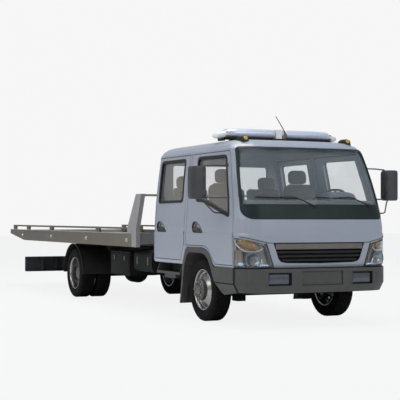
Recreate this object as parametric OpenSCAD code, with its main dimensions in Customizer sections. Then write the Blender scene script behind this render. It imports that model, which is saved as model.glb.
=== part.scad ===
// Crew-cab recovery truck with a tilting, sliding bed.
// Millimetres. Modules are written with the front axle at x = 0 and the
// ground at z = 0, +X forward and +Y to the truck's left. place() moves the
// whole truck so that its origin is the middle of its box on the ground.

/* [Wheels] */
// Outer radius of every tyre
tyre_r = 375; // [360:1:378]
// Width of every tyre
tyre_w = 232; // [200:1:240]
// Radius of the rim where the tyre's bead sits
rim_r = 242; // [225:1:250]
// Distance between the axles
wheelbase = 4510; // [4400:10:4600]
// From the truck's middle plane to a front tyre's middle
front_track_half = 841; // [835:1:850]
// From the middle plane to the outer plane of the rear twins
rear_outer_half = 1044; // [1035:1:1050]
// Gap between the twin tyres
twin_gap = 31; // [20:1:40]
// Steering pivot, from the middle plane
kingpin_half = 800; // [790:1:805]

/* [Cab] */
// Rear wall of the cab, outside
cab_rear_x = -1450; // [-1470:5:-1430]
// Wall thickness of the cab's sides, doors, front and back
cab_wall = 50; // [35:1:60]
// Thickness of the roof
roof_wall = 45; // [30:1:60]
// Height of the body's lower edge
cab_bottom_z = 665; // [650:1:680]
// Height of the seam under the roof
roof_seam_z = 2035; // [2025:1:2045]
// Top of the cab's floor
floor_z = 905; // [900:1:940]
// Thickness of the floor
floor_t = 20; // [15:1:22]
// Gap round each door
door_gap = 8; // [7:0.5:10]
// Thickness of the window glass
glass_t = 6; // [4:0.5:8]

/* [Frame] */
// Height of a frame rail
rail_h = 195; // [170:1:200]
// Width of a frame rail's flanges
rail_w = 70; // [60:1:75]
// Sheet thickness of a frame rail
rail_t = 8; // [6:0.5:10]
// Top face of the frame rails
rail_top_z = 695; // [690:1:695]
// Web of a frame rail, from the middle plane
rail_half = 420; // [400:1:425]
// Rear end of the frame rails
rail_rear_x = -6240; // [-6300:10:-6200]
// Front end of the frame rails
rail_front_x = 930; // [900:5:935]

/* [Bed] */
// Half of the bed's width
bed_half = 1100; // [1080:1:1120]
// Rear end of the bed
bed_rear_x = -7980; // [-8000:10:-7900]
// Front end of the bed
bed_front_x = -1760; // [-1780:5:-1750]
// Top of the bed's side plates
bed_top_z = 1020; // [1000:1:1030]
// Lower edge of the bed's side plates
bed_low_z = 840; // [840:1:850]
// Radius of the pin that the bed tilts on
tilt_pin_r = 24; // [18:1:26]

/* [Hidden] */
$fn = 48;

fit = 0.3;
front_x = 1200;
origin_x = -(front_x + bed_rear_x) / 2;
rail_low_z = rail_top_z - rail_h;
rear_tyre_outer = rear_outer_half - tyre_w / 2;
rear_tyre_inner = rear_tyre_outer - tyre_w - twin_gap;

// Colours
paint = [0.80, 0.82, 0.86];
dark = [0.22, 0.23, 0.22];
black = [0.08, 0.08, 0.08];
alloy = [0.55, 0.53, 0.50];
bright = [0.85, 0.86, 0.88];
clear = [0.35, 0.38, 0.40, 0.5];

module place() translate([origin_x, 0, 0]) children();
module both_sides() {
  children();
  mirror([0, 1, 0]) children();
}
// Prism of an outline drawn in x and z, from y0 to y1
module side_prism(points, y0, y1)
  translate([0, y1, 0]) rotate([90, 0, 0]) linear_extrude(y1 - y0) polygon(points);
module box(low, high) translate(low) cube(high - low);
module rod_y(x, z, y0, y1, r)
  translate([x, y1, z]) rotate([90, 0, 0]) cylinder(r = r, h = y1 - y0);

// Half width at the crease along the doors
belt_half = 986;
// The cab's outline. Columns: height, front, half width, front corner
// radius, rear.
CAB_RINGS = [
  [cab_bottom_z, 1130, 972, 230, cab_rear_x],
  [700, 1142, 983, 240, cab_rear_x],
  [1036, 1146, belt_half, 250, cab_rear_x],
  [1062, 1144.5, belt_half - 10, 250, cab_rear_x],
  [1130, 1140, belt_half - 8, 255, cab_rear_x],
  [1224, 1132, 972, 260, cab_rear_x],
  [1440, 1074, 957, 270, cab_rear_x],
  [1660, 1000, 934, 270, cab_rear_x],
  [1850, 920, 909, 260, cab_rear_x],
  [1980, 855, 890, 250, cab_rear_x],
  [roof_seam_z, 812, 880, 240, cab_rear_x],
  [2085, 750, 847, 235, cab_rear_x + 25],
  [2125, 670, 795, 230, cab_rear_x + 70],
  [2146, 560, 720, 220, cab_rear_x + 140],
  [2160, 380, 560, 200, cab_rear_x + 290]
];
ring_last = len(CAB_RINGS) - 1;
front_bow = 22;
rear_corner_r = 50;

function arc(cx, cy, r, a0, a1, n) =
  [for (i = [0:n]) let (a = a0 + (a1 - a0) * i / n) [cx + r * cos(a), cy + r * sin(a)]];
// Right half of a ring from the nose to the tail, then its mirror image
function half_ring(r, t) = let (
    xf = r[1] - t, hw = r[2] - t, cr = max(r[3] - t, 60),
    xr = r[4] + t, rr = max(rear_corner_r - t, 15)
  ) concat(
    [[xf, 0], [xf - front_bow / 3, (hw - cr) * 0.6]],
    arc(xf - front_bow - cr, hw - cr, cr, 8, 90, 6),
    arc(xr + rr, hw - rr, rr, 90, 180, 3)
  );
function ring(r, t) = let (h = half_ring(r, t), n = len(h)) concat(
    h, [for (i = [n - 1:-1:1]) [h[i][0], -h[i][1]]]);
// Height of a ring of the inner skin: the roof's thickness comes off the top
function inner_z(z, t) = let (f = max(0, (z - 1660) / (CAB_RINGS[ring_last][0] - 1660)))
  z - t * f;

// Ring i as points, moved in by t. An inner skin runs past the lower edge.
function ring_points(i, t, dz) = let (
    z = inner_z(CAB_RINGS[i][0], dz) - (i == 0 && t > 0 ? 5 : 0)
  ) [for (p = ring(CAB_RINGS[i], t)) [p[0], p[1], z]];
module cab_loft(t, dz) {
  n = len(ring(CAB_RINGS[0], 0));
  for (i = [0:ring_last - 1]) hull() polyhedron(
    points = concat(ring_points(i, t, dz), ring_points(i + 1, t, dz)),
    faces = [[for (k = [0:n - 1]) k], [for (k = [0:n - 1]) n + k]]
  );
}
// The cab's wall: outer skin less the space inside
module cab_shell() difference() {
  cab_loft(0, 0);
  cab_loft(cab_wall, roof_wall);
}

// Outlines of the cab's side in x and z
front_door_x0 = -400;
front_door_x1 = 866;
rear_split_x = cab_rear_x + rear_corner_r + 10;
rear_door_x0 = rear_split_x + 12;
rear_door_x1 = -470;
door_top_z = 2005;
bumper_low_z = 391;
sill_z = 715;
front_handle_x = -228;
rear_handle_x = -1325;
door_skin = 22;
door_step = 14;
hinge_half = belt_half + 4;
FRONT_DOOR = [
  [front_door_x0, 905], [front_door_x0, door_top_z], [590, door_top_z], [632, 1960],
  [822, 1440], [856, 1240], [front_door_x1, 1030], [front_door_x1, 700], [430, 700],
  [345, 770], [235, 870], [130, 905]
];
REAR_DOOR = [
  [rear_door_x0, sill_z], [rear_door_x0, door_top_z], [rear_door_x1, door_top_z],
  [rear_door_x1, 905], [-500, 860], [-560, sill_z]
];
FRONT_WINDOW = [
  [-150, 1450], [-213, 1950], [541, 1942], [712, 1450], [742, 1262], [59, 1440]
];
REAR_WINDOW = [
  [-1300, 1441], [-1325, 1945], [-600, 1945], [-565, 1444]
];
// Seam between the skirt and the bumper, and the groove's half width
skirt_x1 = 912;
seam_half = 6;
// Groove along the skirt: its middle
skirt_seam_z = 487;
// Flare over the front wheel and the skirt ahead of it: outer edge, and the
// edge that faces the wheel
ARCH_TOP = [
  [-482, 663], [-480, 690], [-405, 845], [-350, 880], [60, 882], [130, 874],
  [200, 853], [262, 815], [318, 762], [352, 705], [380, 663]
];
FLARE = concat(ARCH_TOP, [[skirt_x1 - seam_half, 663], [skirt_x1 - seam_half, bumper_low_z - 1],
  [575, 350], [300, 330], [-500, 180], [-565, 180]]);
ARCH_IN = [
  [-545, 170], [-520, 240], [-430, 660], [-360, 785], [-290, 815], [30, 815],
  [110, 808], [180, 785], [245, 740], [300, 670], [345, 595], [392, 514], [440, 466], [466, 436],
  [480, 398], [510, 370], [560, 352], [560, 170]
];
// Section, in y and z, that the skirt loses at the bottom
LOW_CUT = [[1010, skirt_seam_z], [997, skirt_seam_z], [944, bumper_low_z - 2], [931, 345], [1010, 345]];
module rounded(points, r) offset(r = r) offset(delta = -r) polygon(points);
module grown_prism(points, by, y0, y1)
  translate([0, y1, 0]) rotate([90, 0, 0]) linear_extrude(y1 - y0)
    offset(delta = by) polygon(points);
module window_prism(points, by, r)
  translate([0, 1300, 0]) rotate([90, 0, 0]) linear_extrude(900)
    offset(delta = by) rounded(points, r);
// Section drawn in y and z, drawn out along x
module long_prism(points, x0, x1)
  translate([x0, 0, 0]) rotate([90, 0, 90]) linear_extrude(x1 - x0) polygon(points);
// Outline drawn in y and z from the front, as a cutter for the nose
module nose_prism(points, by, r, x0, x1)
  translate([x0, 0, 0]) rotate([90, 0, 90]) linear_extrude(x1 - x0)
    offset(delta = by) rounded(points, r);

WINDSHIELD = [[-872, 1300], [-910, 1390], [-925, 1480], [-838, 2030], [838, 2030],
  [925, 1480], [910, 1390], [872, 1300]];
REAR_GLASS = [[-710, 1470], [-710, 1930], [710, 1930], [710, 1470]];
GRILLE = [[-440, 724], [-505, 738], [-537, 770], [-600, 947], [600, 947], [537, 770],
  [505, 738], [440, 724], [0, 716]];
LAMP = [[598, 674], [690, 946], [1020, 1024], [1020, 674]];
lamp_rear_x = 884;
lamp_depth = 90;

// Where the side panels end and the nose begins, in x and z: along the front
// door's edge, then up to the roof
NOSE_LINE = concat(
  [[front_door_x1 + door_gap, 600]],
  [for (i = [6:-1:3]) FRONT_DOOR[i] + [door_gap, 0]],
  [[600, 2100], [1400, 2100], [1400, 600]]
);

pillar_w = 32;
module cab_front() color(paint) {
  nose_panel();
  both_sides() body_hinges(front_door_x1);
}
module nose_panel() difference() {
  intersection() {
    cab_shell();
    side_prism(NOSE_LINE, -1100, 1100);
    box([0, -1100, cab_bottom_z], [1400, 1100, roof_seam_z - fit]);
  }
  intersection() {
    nose_prism(WINDSHIELD, 0, 70, 300, 1400);
    grown_prism(NOSE_LINE, -pillar_w, -1100, 1100);
  }
  nose_prism(GRILLE, 0, 6, 900, 1400);
  both_sides() nose_prism(LAMP, fit, 10, lamp_rear_x - fit, 1400);
}
module body_hinges(door_x1) difference() {
  hinge_halves(door_x1 + door_gap / 2, 1, false);
  translate([door_x1 - 10, hinge_half - 20, 0]) cube([door_gap + 10, 20 - 4.3, 2000]);
}
// Inner face of the rails over the doors
roof_rail_half = 834;
module cab_sides() color(paint) both_sides() {
  side_panels();
  body_hinges(rear_door_x1);
}
module side_panels() difference() {
  intersection() {
    cab_shell();
    box([rear_split_x, 300, cab_bottom_z], [1400, 1100, roof_seam_z - fit]);
  }
  grown_prism(NOSE_LINE, fit, -1100, 1100);
  grown_prism(FRONT_DOOR, door_gap, 300, 1100);
  grown_prism(REAR_DOOR, door_gap, 300, 1100);
  grown_prism(concat(ARCH_TOP, [[380, 600], [-482, 600]]), fit, 300, 1100);
  box([-1500, 0, 1900], [1000, roof_rail_half, 2100]);
}
module cab_rear() color(paint) difference() {
  intersection() {
    cab_shell();
    box([cab_rear_x - 10, -1100, cab_bottom_z],
      [rear_split_x - fit, 1100, roof_seam_z - fit]);
  }
  nose_prism(REAR_GLASS, 0, 50, cab_rear_x - 50, cab_rear_x + 100);
  // Cut-out over the frame
  box([cab_rear_x - 50, -rail_half - 15, 0], [cab_rear_x + 100, rail_half + 15, rail_top_z + 10]);
}
module cab_roof() color(paint) intersection() {
  cab_shell();
  box([-1600, -1100, roof_seam_z], [1400, 1100, 2200]);
}
glass_in = 20;
module glass_band() difference() {
  cab_loft(glass_in, glass_in);
  cab_loft(glass_in + glass_t, glass_in + glass_t);
}
module cab_glass() color(clear) {
  intersection() {
    glass_band();
    nose_prism(WINDSHIELD, -fit, 70, 300, 1400);
    grown_prism(NOSE_LINE, -pillar_w - fit, -1100, 1100);
  }
  translate([cab_rear_x + glass_in, 0, 0])
    nose_prism(REAR_GLASS, -fit, 50, 0, glass_t);
}
// Hinge barrels on the axis of a door, each with its leaf on the skin. Columns:
// height of the hinge. The body carries the lower half, the door the upper.
hinge_zs = [912, 992];
hinge_h = 34;
hinge_r = 3.7;
leaf_l = 12;
module hinge_halves(axis_x, dir, up) for (z = hinge_zs)
  translate([axis_x, hinge_half, z + (up ? hinge_h + fit : 0)]) {
    cylinder(r = hinge_r, h = hinge_h);
    translate([dir < 0 ? -leaf_l : 0, -14, 0]) cube([leaf_l, 14, hinge_h]);
  }
// Recess for a door's handle, from its rear lower corner, in x and z
HANDLE = [[0, 70], [8, 98], [26, 115], [52, 123], [84, 121], [126, 108], [180, 80], [232, 44], [288, 0],
  [36, 0], [12, 18]];
handle_z = 1057;
handle_depth = 14;
module handle_recess(x) difference() {
  translate([x, 0, handle_z]) side_prism(HANDLE, 900, 1100);
  cab_loft(handle_depth, handle_depth);
}
module door(outline, window, axis_x, handle_x) color(paint) {
  door_panel(outline, window, handle_x);
  difference() {
    hinge_halves(axis_x, -1, true);
    translate([axis_x - 4, hinge_half - 20, 0]) cube([20, 20 - 4.3, 2000]);
  }
}
module front_door() door(FRONT_DOOR, FRONT_WINDOW, front_door_x1 + door_gap / 2, front_handle_x);
module rear_door() door(REAR_DOOR, REAR_WINDOW, rear_door_x1 + door_gap / 2, rear_handle_x);
module door_panel(outline, window, handle_x) difference() {
  intersection() {
    cab_shell();
    union() {
      difference() {
        side_prism(outline, 300, 1100);
        cab_loft(door_skin, door_skin);
      }
      grown_prism(outline, -door_step, 300, 1100);
    }
  }
  window_prism(window, 0, 40);
  handle_recess(handle_x);
}
module door_glass(window) color(clear) intersection() {
  glass_band();
  window_prism(window, -fit, 40);
}

hump_x0 = -650;
hump_x1 = -90;
hump_half = 280;
hump_z = 1100;
module cab_floor() color(black) difference() {
  union() {
    intersection() {
      box([-1500, -1000, floor_z - floor_t], [860, 1000, floor_z]);
      cab_loft(cab_wall + door_gap, 0);
    }
    // The floor reaches the rear wall, the pillars between the doors and the nose
    intersection() {
      union() {
        box([-1500, -1000, floor_z - floor_t], [rear_split_x + 10, 1000, floor_z]);
        box([rear_door_x1 + 12, -1000, floor_z - floor_t], [front_door_x0 - 12, 1000, floor_z]);
        box([800, -560, floor_z - floor_t], [1200, 560, floor_z]);
      }
      cab_loft(cab_wall + fit, 0);
    }
    // Raised cover over the engine
    box([hump_x0, -hump_half, floor_z - floor_t], [hump_x1, hump_half, hump_z]);
    // Cross members that carry the floor on the frame
    for (x = [-1300, 300]) box([x, -430, rail_top_z + fit], [x + 80, 430, floor_z - floor_t]);
    for (x = [-1300, 300]) box([x, -900, floor_z - 70], [x + 80, 900, floor_z - floor_t]);
  }
  box([hump_x0 + floor_t, -hump_half + floor_t, floor_z - floor_t - 1],
    [hump_x1 - floor_t, hump_half - floor_t, hump_z - floor_t]);
}
module bumper_row(z0, z1, half, t) translate([0, 0, z0]) linear_extrude(z1 - z0)
  polygon(ring([0, 1199, half, 340, 600], t));
bumper_x0 = 940;
bumper_half = 997.5;
// Half width of the bumper at its lower edge
bumper_low_half = 944;
plate_half = 269;
module bumper() color(dark) difference() {
  union() {
    bumper_row(skirt_seam_z, cab_bottom_z - 3, bumper_half, 0);
    hull() {
      bumper_row(skirt_seam_z, skirt_seam_z + 2, bumper_half, 0);
      bumper_row(bumper_low_z, bumper_low_z + 1, bumper_low_half, 0);
    }
  }
  bumper_row(bumper_low_z - 1, cab_bottom_z - 25, bumper_half - 40, 45);
  box([0, -1100, 0], [skirt_x1 + seam_half, 1100, 800]);
  box([0, -900, 0], [bumper_x0, 900, 800]);
  // Plate recess and fog lamp recesses
  box([1178, -plate_half, 473], [1250, plate_half, 631]);
  both_sides() box([1120, 394, 470], [1250, 690, 625]);
}
grille_face = 6;
grille_back = 36;
slot_zs = [[716, 740], [760, 786], [806, 832], [852, 880]];
module grille() color(dark) difference() {
  intersection() {
    difference() { cab_loft(grille_face, 0); cab_loft(cab_wall, 0); }
    nose_prism(GRILLE, -fit, 6, 900, 1400);
  }
  difference() {
    intersection() {
      nose_prism(GRILLE, -12, 3, 900, 1400);
      union() for (s = slot_zs) box([900, -700, s[0]], [1400, 700, s[1]]);
    }
    cab_loft(grille_back, 0);
  }
}
module headlights() color(bright) both_sides() intersection() {
  difference() { cab_loft(2, 2); cab_loft(lamp_depth, lamp_depth); }
  nose_prism(LAMP, 0, 10, lamp_rear_x, 1400);
}
flare_half = 992;
liner_t = 6;
liner_low_z = 400;
module wheel_arches() color(dark) both_sides() {
  difference() {
    side_prism(FLARE, flare_half - 80, flare_half);
    side_prism(ARCH_IN, 800, 1000);
    box([400, flare_half - 8, skirt_seam_z - seam_half], [skirt_x1, 1000, skirt_seam_z + seam_half]);
    long_prism(LOW_CUT, 400, skirt_x1);
  }
  // Liner over the wheel
  difference() {
    intersection() {
      grown_prism(ARCH_IN, liner_t, 620, flare_half - 70);
      box([-600, 600, liner_low_z], [470, 1000, 900]);
    }
    side_prism(ARCH_IN, 600, 1000);
  }
  // Flap behind the wheel
  side_prism([[-563, 180], [-549, 180], [-468, 655], [-482, 655]], 620, 960);
}
// Step under the rear doors: a tread between two end plates and a riser
step_x0 = -1310;
step_x1 = -575;
tread_z = 550;
tread_t = 22;
STEP_END = [[760, tread_z - tread_t], [985, tread_z - tread_t], [985, tread_z], [940, cab_bottom_z - fit],
  [760, cab_bottom_z - fit]];
module cab_steps() color(dark) both_sides() {
  box([step_x0, 760, tread_z - tread_t], [step_x1, 985, tread_z]);
  box([step_x0, 760, tread_z], [step_x1, 772, cab_bottom_z - fit]);
  for (x = [step_x0, step_x1 - 16]) long_prism(STEP_END, x, x + 16);
  // Board under the tread
  box([-1100, 900, 474], [-750, 965, tread_z - tread_t]);
}
seat_w = 500;
cushion_z = 1010;
cushion_t = 120;
back_top = 540;
back_lean = 10;
// Point of a leaning back: u forward of its front face, v up it
function lean(x, u, v) = [x + 60 + u * cos(back_lean) - v * sin(back_lean),
  cushion_z + 20 + u * sin(back_lean) + v * cos(back_lean)];
back_end = cushion_t + back_top;
// One cushion and its leaning back; x is the cushion's rear edge
module seat(x, y, w) side_prism([
    [x + 480, cushion_z], [x + 480, cushion_z + cushion_t],
    lean(x, 0, (cushion_t - 20) / cos(back_lean)), lean(x, 0, back_end), lean(x, -100, back_end),
    lean(x, -100, 0), [x, cushion_z]
  ], y - w / 2, y + w / 2);
module headrest(x, y, up) {
  side_prism([lean(x, -95, back_end + up), lean(x, -10, back_end + up), lean(x, -10, back_end + up + 160),
    lean(x, -95, back_end + up + 160)], y - 125, y + 125);
  for (s = [-60, 60]) side_prism([lean(x, -58, back_end - 10), lean(x, -46, back_end - 10),
    lean(x, -46, back_end + 30), lean(x, -58, back_end + 30)], y + s - 6, y + s + 6);
}
module seats() color(alloy) {
  for (y = [-535, 535]) {
    seat(-60, y, seat_w);
    headrest(-60, y, 18);
    box([-20, y - 200, floor_z + fit], [380, y + 200, cushion_z + 20]);
  }
  seat(-1150, 0, 1640);
  for (y = [-600, 600]) headrest(-1150, y, 4);
  box([-1120, -780, floor_z + fit], [-780, 780, cushion_z + 20]);
}
module dashboard() color(dark) {
  intersection() {
    union() {
      side_prism([[600, 1120], [640, 1390], [740, 1440], [1200, 1430], [1200, 1030], [880, 1030],
        [840, 980], [680, 980]], -900, 900);
      // Hood over the instruments
      side_prism([[668, 1400], [688, 1490], [720, 1515], [770, 1515], [860, 1430]], 330, 680);
    }
    cab_loft(cab_wall + fit, 0);
  }
}
wheel_c = [500, 505, 1460];
wheel_tilt = 32;
module steering_wheel() color(black) {
  translate(wheel_c) rotate([0, -wheel_tilt, 0]) {
    rotate_extrude() translate([205, 0]) circle(r = 14);
    translate([0, 0, -30]) cylinder(r = 55, h = 34);
    for (a = [90, 210, 330])
      rotate([0, 0, a]) translate([0, 0, -6]) rotate([0, 90, 0]) cylinder(r = 9, h = 205);
    translate([0, 0, -185]) cylinder(r = 32, h = 165);
  }
}
// Cuts a piece back to the cab's skin and a fit's width off it
module on_skin() difference() {
  children();
  cab_loft(-fit, -fit);
}
// Arm from its spindle to the blade, and the blade; a and b in y and z
module wiper(pivot, elbow, tip) {
  module at(p, lift) translate([wind_x(p[0], p[1]) + lift, p[0], p[1]]) sphere(r = 9, $fn = 16);
  hull() { at(pivot, 8); at(elbow, 14); }
  hull() { at([elbow[0] + 60, elbow[1] - 8], 14); at(tip, 22); }
  translate([wind_x(pivot[0], pivot[1]) - 20, pivot[0], pivot[1]]) rotate([0, 80, 0])
    cylinder(r = 20, h = 34);
}
// The windshield's face: x at y and height z
function wind_x(y, z) = 1132 - max(0, z - 1224) * 0.269
  - (abs(y) < 412 ? abs(y) * 0.018 : 7.3 + (abs(y) - 412) * 0.055);
module wipers() color(black) on_skin() {
  wiper([703, 1375], [454, 1471], [9, 1467]);
  wiper([-50, 1366], [-300, 1471], [-740, 1467]);
}
module light_bar() color(bright) on_skin() {
  for (s = [-1, 1]) {
    translate([90, s * 350, 2245]) hull() for (a = [-1, 1], b = [-1, 1])
      translate([a * 90, b * 280, 0]) cylinder(r = 50, h = 110, center = true, $fn = 32);
    translate([90, s * 750, 2215]) hull() for (a = [-1, 1], b = [-1, 1])
      translate([a * 90, b * 55, 0]) cylinder(r = 40, h = 76, center = true, $fn = 32);
  }
  box([30, -69.5, 2195], [150, 69.5, 2310]);
  for (y = [-560, 560]) box([40, y - 30, 2100], [140, y + 30, 2200]);
}
module roof_fittings() color(dark) on_skin() {
  both_sides() hull() {
    box([470, 640, 2090], [640, 750, 2140]);
    box([480, 655, 2140], [600, 735, 2185]);
  }
  translate([450, -34, 2100]) cylinder(r = 22, h = 80);
  translate([450, -34, 2170]) rotate([30, 0, 0]) cylinder(r = 5, h = 330);
}
module mirror_arm(a, b) hull() {
  translate(a) sphere(r = 9, $fn = 16);
  translate(b) sphere(r = 9, $fn = 16);
}
module side_mirror() color(dark) on_skin() {
  translate([590, 1300, 1445]) hull() for (a = [-1, 1], b = [-1, 1])
    translate([a * 45, b * 75, 0]) cylinder(r = 25, h = 375, $fn = 32);
  mirror_arm([590, 1300, 1810], [600, 900, 1835]);
  mirror_arm([590, 1300, 1452], [690, 940, 1400]);
  mirror_arm([590, 1300, 1452], [770, 960, 1288]);
  translate([600, 890, 1835]) rotate([-90, 0, 0]) cylinder(r = 24, h = 36);
  translate([690, 930, 1400]) rotate([-90, 0, 0]) cylinder(r = 24, h = 40);
  translate([770, 950, 1288]) rotate([-90, 0, 0]) cylinder(r = 24, h = 34);
}

// Running gear
spindle_r = 30;
run_gap = 0.05;
kingpin_r = 20;
hub_r = 128;
module tyre_ring() rotate([90, 0, 0]) rotate_extrude($fn = 96) polygon([
  [rim_r - 10, -88], [rim_r - 10, 88], [rim_r + 1, 88], [rim_r + 8, 100], [rim_r + 45, tyre_w / 2],
  [rim_r + 78, tyre_w / 2], [tyre_r - 20, 104], [tyre_r - 6, 94], [tyre_r, 80],
  [tyre_r, -80], [tyre_r - 6, -94], [tyre_r - 20, -104], [rim_r + 78, -tyre_w / 2],
  [rim_r + 45, -tyre_w / 2], [rim_r + 8, -100], [rim_r + 1, -88]
]);
// Rim with its disc at w, measured outward from the tyre's middle
module rim_ring(w, dish) rotate([-90, 0, 0]) difference() {
  rotate_extrude($fn = 96) polygon([
    [rim_r - 10, -88], [rim_r, -90], [rim_r, -97], [rim_r - 18, -97], [rim_r - 20, w - 8],
    [rim_r - 40, w - 8], [hub_r, w - 8 + dish], [0, w - 8 + dish], [0, w + dish], [hub_r, w + dish],
    [rim_r - 40, w], [rim_r - 20, w], [rim_r - 18, 97], [rim_r, 97], [rim_r, 90], [rim_r - 10, 88]
  ]);
  for (a = [0:45:315]) rotate([0, 0, a]) translate([rim_r - 66, 0, w - 100]) cylinder(r = 20, h = 200);
}
module at_front_wheel() translate([0, front_track_half, tyre_r]) children();
module rim_front() color(bright) difference() {
  union() {
    at_front_wheel() rim_ring(60, 20);
    translate([0, front_track_half + 20, tyre_r]) rotate([-90, 0, 0]) cylinder(r = hub_r, h = 125);
  }
  rod_y(0, tyre_r, front_track_half - 40, front_track_half + 80, spindle_r + run_gap);
}
module tyre_front() color(black) at_front_wheel() tyre_ring();
module rims_rear() color(bright) difference() {
  union() {
    translate([-wheelbase, rear_tyre_outer, tyre_r]) rim_ring(-60, -6);
    translate([-wheelbase, rear_tyre_inner, tyre_r]) mirror([0, 1, 0]) rim_ring(-60, -6);
    rod_y(-wheelbase, tyre_r, rear_tyre_inner - 40, rear_tyre_outer + 60, hub_r - 30);
  }
  rod_y(-wheelbase, tyre_r, rear_tyre_inner - 50, rear_tyre_outer + 30, spindle_r + 10 + run_gap);
}
module tyres_rear() color(black) for (y = [rear_tyre_outer, rear_tyre_inner])
  translate([-wheelbase, y, tyre_r]) tyre_ring();
arm_x = -110;
yoke = 60;
yoke_t = 18;
module knuckle() color(alloy) {
  translate([0, kingpin_half, tyre_r - yoke]) cylinder(r = kingpin_r, h = 2 * yoke);
  for (z = [tyre_r - yoke, tyre_r + yoke - yoke_t]) {
    translate([0, kingpin_half, z]) cylinder(r = 36, h = yoke_t);
    box([-36, kingpin_half, z], [36, kingpin_half + 50, z + yoke_t]);
  }
  box([-36, kingpin_half + 38, tyre_r - yoke], [36, kingpin_half + 56, tyre_r + yoke]);
  rod_y(0, tyre_r, kingpin_half + 50, front_track_half + 78, spindle_r);
  // Steering arm
  box([arm_x, kingpin_half - 22, tyre_r - yoke], [0, kingpin_half + 22, tyre_r - yoke + yoke_t]);
  translate([arm_x, kingpin_half, tyre_r - yoke]) cylinder(r = 26, h = yoke_t);
}
tie_z = tyre_r - yoke - 20;
module tie_rod() color(black) {
  rod_y(arm_x, tie_z, -kingpin_half, kingpin_half, 14);
  both_sides() translate([arm_x, kingpin_half, tie_z - 18]) cylinder(r = 24, h = 38 - fit);
}
beam_top = tyre_r - 20;
module axle_beams() color(black) {
  difference() {
    union() {
      both_sides() {
        translate([0, kingpin_half, tyre_r - 41]) cylinder(r = 36, h = 82);
        hull() {
          box([-35, 690, tyre_r - 33], [35, 766, tyre_r + 33]);
          box([-35, 560, beam_top - 55], [35, 600, beam_top]);
        }
        // Clamp under the spring
        nose_prism([[395, 227], [395, beam_top], [520, beam_top], [520, 227]], 0, 12, -60, 60);
      }
      box([-35, -600, beam_top - 55], [35, 600, beam_top]);
    }
    both_sides() translate([0, kingpin_half, 0]) cylinder(r = kingpin_r + run_gap, h = 900);
  }
  // Drive axle with its bulge in the middle
  rod_y(-wheelbase, tyre_r, -rear_tyre_inner + 60, rear_tyre_inner - 60, 62);
  rod_y(-wheelbase, tyre_r, -rear_tyre_outer - 20, rear_tyre_outer + 20, spindle_r + 10);
  translate([-wheelbase, 0, tyre_r]) rotate([0, 90, 0]) cylinder(r = 170, h = 200, center = true);
}
spring_half = 385;
module spring(x, z, half) for (i = [0:4])
  box([x - half + i * 70, spring_half - 35, z + 12 * (4 - i)],
    [x + half - i * 70, spring_half + 35, z + 12 * (5 - i)]);
module leaf_springs() color(black) both_sides() {
  spring(0, beam_top + fit, 560);
  for (x = [-550, 550])
    box([x - 20, spring_half - 35, tyre_r + 20], [x + 20, spring_half + 35, rail_low_z]);
  spring(-wheelbase, tyre_r + 62 + fit, 620);
  for (x = [-610, 610])
    box([x - wheelbase - 20, spring_half - 35, tyre_r + 100],
      [x - wheelbase + 20, spring_half + 35, rail_low_z]);
}
module frame_rails() color(black) {
  both_sides() {
    difference() {
      box([rail_rear_x, rail_half - rail_w, rail_low_z], [rail_front_x, rail_half, rail_top_z]);
      box([rail_rear_x - 1, rail_half - rail_w - 1, rail_low_z + rail_t],
        [rail_front_x + 1, rail_half - rail_t, rail_top_z - rail_t]);
    }
    // Ears for the bed's tilting pin
    difference() {
      side_prism([[tilt_x - 70, rail_top_z - 120], [tilt_x - 70, tilt_z + 20], [tilt_x - 40, tilt_z + 50],
        [tilt_x + 40, tilt_z + 50], [tilt_x + 70, tilt_z + 20], [tilt_x + 70, rail_top_z - 120]],
        rail_half, rail_half + 16);
      rod_y(tilt_x, tilt_z, rail_half - 1, rail_half + 17, tilt_pin_r + run_gap);
    }
  }
  for (x = [890, 480, -1260, -1700, -2400, -4250, -4950, -5800])
    box([x - 30, -rail_half + rail_t, rail_low_z + 20], [x + 30, rail_half - rail_t, rail_top_z - 20]);
  // Bumper brackets
  both_sides() box([rail_front_x - 60, 362, 520], [1139, rail_half - rail_t, 636]);
  // Cross beam, ears and pins for the foot of the tilting cylinders
  box([cyl_foot_x - 35, -rail_half + rail_t, 590], [cyl_foot_x + 35, rail_half - rail_t, 620]);
  both_sides() {
    rod_y(cyl_foot_x, cyl_foot_z, cyl_half - 60, cyl_half + 60, cyl_pin_r);
    for (y = [cyl_half - 60, cyl_half + 44])
      box([cyl_foot_x - 35, y, cyl_foot_z - 35], [cyl_foot_x + 35, y + 16, 590]);
  }
}
gearbox_x0 = -1150;
module engine() color(alloy) {
  box([hump_x0 + floor_t + 15, -hump_half + floor_t + 15, 400],
    [hump_x1 - floor_t - 15, hump_half - floor_t - 15, hump_z - floor_t - 15]);
  box([gearbox_x0, -160, 430], [-600, 160, 700]);
  for (x = [-560, -220])
    box([x, -rail_half + rail_t + fit, 560], [x + 60, rail_half - rail_t - fit, 620]);
  // Drive shaft
  translate([170 - wheelbase, 0, 440]) rotate([0, 90, 0]) cylinder(r = 40, h = wheelbase - 170 + gearbox_x0);
}
module tanks_and_boxes() color(black) {
  both_sides() {
    hull() for (a = [-1, 1], b = [-1, 1])
      translate([-2260, 720 + a * 130, 650 + b * 70]) rotate([0, 90, 0]) cylinder(r = 80, h = 640, $fn = 32);
    box([-3080, 560, 430], [-2330, 960, 760]);
    for (x = [-2100, -1800, -2900, -2500]) box([x - 25, rail_half, 560], [x + 25, 600, 620]);
  }
}
module guard() difference() {
  translate([-wheelbase, 1059, tyre_r]) rotate([90, 0, 0]) difference() {
    cylinder(r = 455, h = 480);
    translate([0, 0, -1]) cylinder(r = 447, h = 490);
  }
  box([-5100, 500, -200], [-4000, 1100, 375]);
}
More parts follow.
